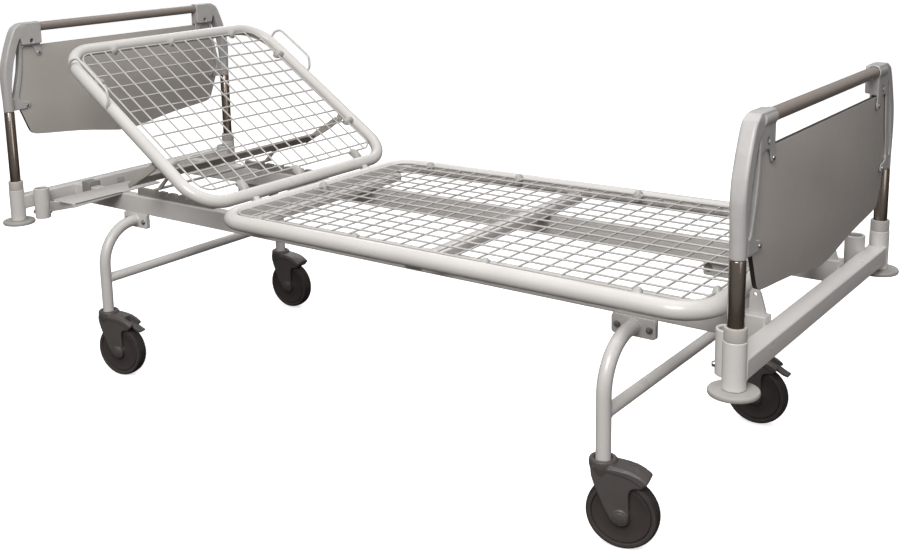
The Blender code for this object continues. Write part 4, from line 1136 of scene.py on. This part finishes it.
def mirrored(profile):
    return [(r, -z) for r, z in reversed(profile)]


def fork_hood():
    """The crowned hood: its upper points fall and its tip pulls back towards the sides."""
    rows = []
    for k in range(17):
        place = -1 + 2 * k / 16
        fall = 0.0058 * abs(place) ** 2.4
        pull = 0.0042 * abs(place) ** 3.0
        rows.append([(x - (pull if x > 0.06 else 0.0), place * 0.0252,
                      z - (fall if i > 6 else 0.0)) for i, (x, z) in enumerate(HOOD)])
    return Shape().absorb(loft(rows))


def fork_mesh(braked):
    """Two cheeks, a hood, the swivel cup and the axle bosses, cut out for the wheel."""
    added = [
        Shape().plate(CHEEK, -0.0236, 0.0236, bevel=0.0030, segments=3),
        fork_hood(),
        Shape().turned(SWIVEL_CUP, 64)]
    for side in (-1, 1):
        added.append(Shape().rod((TRAIL, side * 0.0200, WHEEL_R), (TRAIL, side * 0.0262, WHEEL_R),
                                 0.0142, 40, 0.0016))
    cut = [Shape().rod((TRAIL, -0.0186, WHEEL_R), (TRAIL, 0.0186, WHEEL_R),
                       WHEEL_R + 0.0038, 80, 0)]
    if braked:
        cut.append(Shape().box(0.0632, 0.1250, -0.0130, 0.0130, 0.100, 0.190, 0))
    return solid(added, cut, 0.0012, "caster_fork_body", "fork_plastic")


def wheel(tag, place):
    body = "wheel_" + tag
    spin = (place @ Matrix.Translation((TRAIL, 0, WHEEL_R))
            @ Matrix.Rotation(-pi / 2, 4, "X"))
    tread = Shape().turned(HALF_TREAD + [(WHEEL_R, 0.0)] + mirrored(HALF_TREAD),
                           112, spin, closed=True)
    attach(tread.make("wheel_tread_" + tag, "tread"), body, "tread", "wheel_tyre_" + tag)
    rim = Shape()
    for side in (1, -1):
        rim.turned([(r, side * z) for r, z in RIM], 112, spin, closed=True)
    attach(rim.make("wheel_rim_" + tag, "tyre_side"), body, "wheel_plastic")
    hub = Shape().turned(HALF_HUB + mirrored(HALF_HUB), 96, spin, closed=True)
    attach(hub.make("wheel_centre_" + tag, "wheel_plastic"),
           body, "wheel_plastic", "wheel_hub_" + tag)


def brake_pedal(tag, place):
    pedal = Shape().plate(PEDAL, -0.0116, 0.0116, bevel=0.0012, segments=3, matrix=place)
    # Four ridges down the slope of the pedal.
    for i in range(4):
        x = 0.0960 + 0.0046 * i
        z = 0.14655 - (x - 0.0960) * 0.49
        pedal.box(x - 0.0008, x + 0.0008, -0.0098, 0.0098, z - 0.0022, z + 0.0003,
                  0.0003, 2, place)
    node = "brake_pedal_" + tag
    attach(pedal.make(node + "_moulded", "fork_plastic"), "pedal_" + tag, "fork_plastic", node)


def casters():
    forks = {True: fork_mesh(True), False: fork_mesh(False)}
    for tag in ("near_foot", "far_foot", "near_head", "far_head"):
        swivel = Vector(JOINTS["caster_swivel_" + tag]["pos_m"])
        axle = Vector(JOINTS["wheel_spin_" + tag]["axis"])
        braked = "brake_press_" + tag in JOINTS
        place = (Matrix.Translation((swivel.x, swivel.y, 0))
                 @ Matrix.Rotation(atan2(-axle.x, axle.y), 4, "Z"))
        body, node = "caster_" + tag, "caster_fork_" + tag
        attach(copy_of(forks[braked], node + "_moulded", place), body, "fork_plastic", node)
        pin = Shape()
        for side in (-1, 1):
            cap = place @ along((TRAIL, side * 0.0256, WHEEL_R), (0, side, 0))
            pin.turned(AXLE_CAP, 36, cap)
        pin.rod((TRAIL, -0.0250, WHEEL_R), (TRAIL, 0.0250, WHEEL_R), 0.0058, 24, 0, place)
        attach(pin.make("caster_race_" + tag, "fork_plastic"), body, "fork_plastic")
        wheel(tag, place)
        if braked:
            brake_pedal(tag, place)


def plate_pins():
    for node in ("hinge_pin_near", "hinge_pin_far", "prop_pin_near", "prop_pin_far"):
        mesh = frame["nodes"][node].data
        mesh.materials.clear()
        mesh.materials.append(MAT["zinc"])
        mesh.shade_smooth()
        mesh.set_sharp_from_angle(angle=radians(40))


# ================================================================ floor, light and camera
def floor():
    """A pale glowing floor to the camera, and a dim brown one to every other ray."""
    grid = bmesh.new()
    bmesh.ops.create_grid(grid, x_segments=2, y_segments=2, size=30.0)
    mesh = bpy.data.meshes.new("floor")
    grid.to_mesh(mesh)
    grid.free()
    obj = link("floor", mesh)
    obj.location = (0, 0, -0.0005)
    n = new_material("floor_pale")
    cloud = n.remap(n.noise(scale=0.6, detail=3.0))
    n.put("Base Color", n.mix(cloud, (0.86, 0.86, 0.855, 1.0), (0.90, 0.90, 0.90, 1.0)))
    n.put("Roughness", 0.85)
    n.put("Specular IOR Level", 0.10)
    dim = n.node("ShaderNodeBsdfDiffuse", Color=(0.075, 0.066, 0.060, 1.0))
    path = n.node("ShaderNodeLightPath")
    glow = n.node("ShaderNodeEmission", Color=(1.0, 1.0, 1.0, 1.0), Strength=0.62)
    both = n.node("ShaderNodeAddShader", n.main.outputs[0], glow.outputs[0])
    choose = n.node("ShaderNodeMixShader", path.outputs["Is Camera Ray"],
                    dim.outputs[0], both.outputs[0])
    n.fill(n.tree.nodes["Material Output"].inputs["Surface"], choose.outputs[0])
    mesh.materials.append(n.data)


def world():
    """White to the camera; a soft gradient, lighter overhead, to every other ray."""
    n = Nodes(bpy.data.worlds.new("studio"), main="Background")
    direction = n.node("ShaderNodeTexCoord").outputs["Generated"]
    height = n.node("ShaderNodeSeparateXYZ", Vector=direction).outputs["Z"]
    n.put("Color", n.ramp(height, [(0.0, (0.40, 0.385, 0.375, 1.0)),
                                   (0.75, (1.0, 1.0, 1.0, 1.0))]))
    n.put("Strength", 0.50)
    white = n.node("ShaderNodeBackground", Color=(1.0, 1.0, 1.0, 1.0), Strength=1.0)
    path = n.node("ShaderNodeLightPath")
    choose = n.node("ShaderNodeMixShader", path.outputs["Is Camera Ray"],
                    n.main.outputs[0], white.outputs[0])
    n.fill(n.tree.nodes["World Output"].inputs["Surface"], choose.outputs[0])
    bpy.context.scene.world = n.data


def area(name, location, target, size, power, colour):
    light = bpy.data.lights.new(name, "AREA")
    light.shape = "RECTANGLE"
    light.size, light.size_y = size
    light.energy = power
    light.color = colour
    obj = link(name, light)
    obj.location = location
    aim = Vector(target) - Vector(location)
    obj.rotation_euler = aim.to_track_quat("-Z", "Y").to_euler()


def lights():
    area("key_light", location=(1.3, -3.3, 3.1), target=(0.4, 0.0, 0.5),
         size=(2.2, 1.8), power=156.0, colour=(1.0, 0.992, 0.98))
    area("top_light", location=(0.3, 0.4, 3.8), target=(0.1, 0.0, 0.4),
         size=(4.0, 3.0), power=50.0, colour=(1.0, 0.995, 0.99))
    area("back_light", location=(-2.8, 3.4, 2.6), target=(-0.3, 0.0, 0.5),
         size=(2.4, 2.0), power=34.0, colour=(1.0, 1.0, 1.0))
    area("fill_light", location=(4.2, -1.4, 2.2), target=(0.6, 0.0, 0.5),
         size=(2.4, 2.0), power=26.0, colour=(0.97, 0.98, 1.0))


def camera():
    # Turn from +Y towards -X, downward tilt, and roll about the view, in radians.
    turn, tilt, roll = 0.6895, 0.1977, -0.0324
    view = Vector((-sin(turn) * cos(tilt), cos(turn) * cos(tilt), -sin(tilt)))
    level = Vector((cos(turn), sin(turn), 0.0))
    upright = level.cross(view)
    right = cos(roll) * level + sin(roll) * upright
    up = -sin(roll) * level + cos(roll) * upright
    data = bpy.data.cameras.new("camera")
    data.sensor_width = 36.0
    data.lens = 46.4632
    data.shift_x = 0.092588889
    data.shift_y = -0.143777778
    data.clip_end = 100.0
    obj = bpy.data.objects.new("camera", data)
    rotation = Matrix((right, up, -view)).transposed().to_4x4()
    obj.matrix_world = Matrix.Translation((1.7610, -2.2550, 1.2352)) @ rotation
    bpy.context.scene.collection.objects.link(obj)
    bpy.context.scene.camera = obj


main_frame()
leg_frames()
leg_bolts()
foot_section()
backrest()
prop()
ratchet_combs()
head_bracket()
boards()
collars_and_bumpers()
casters()
plate_pins()
floor()
world()
lights()
camera()
bpy.context.scene.view_settings.view_transform = "Standard"
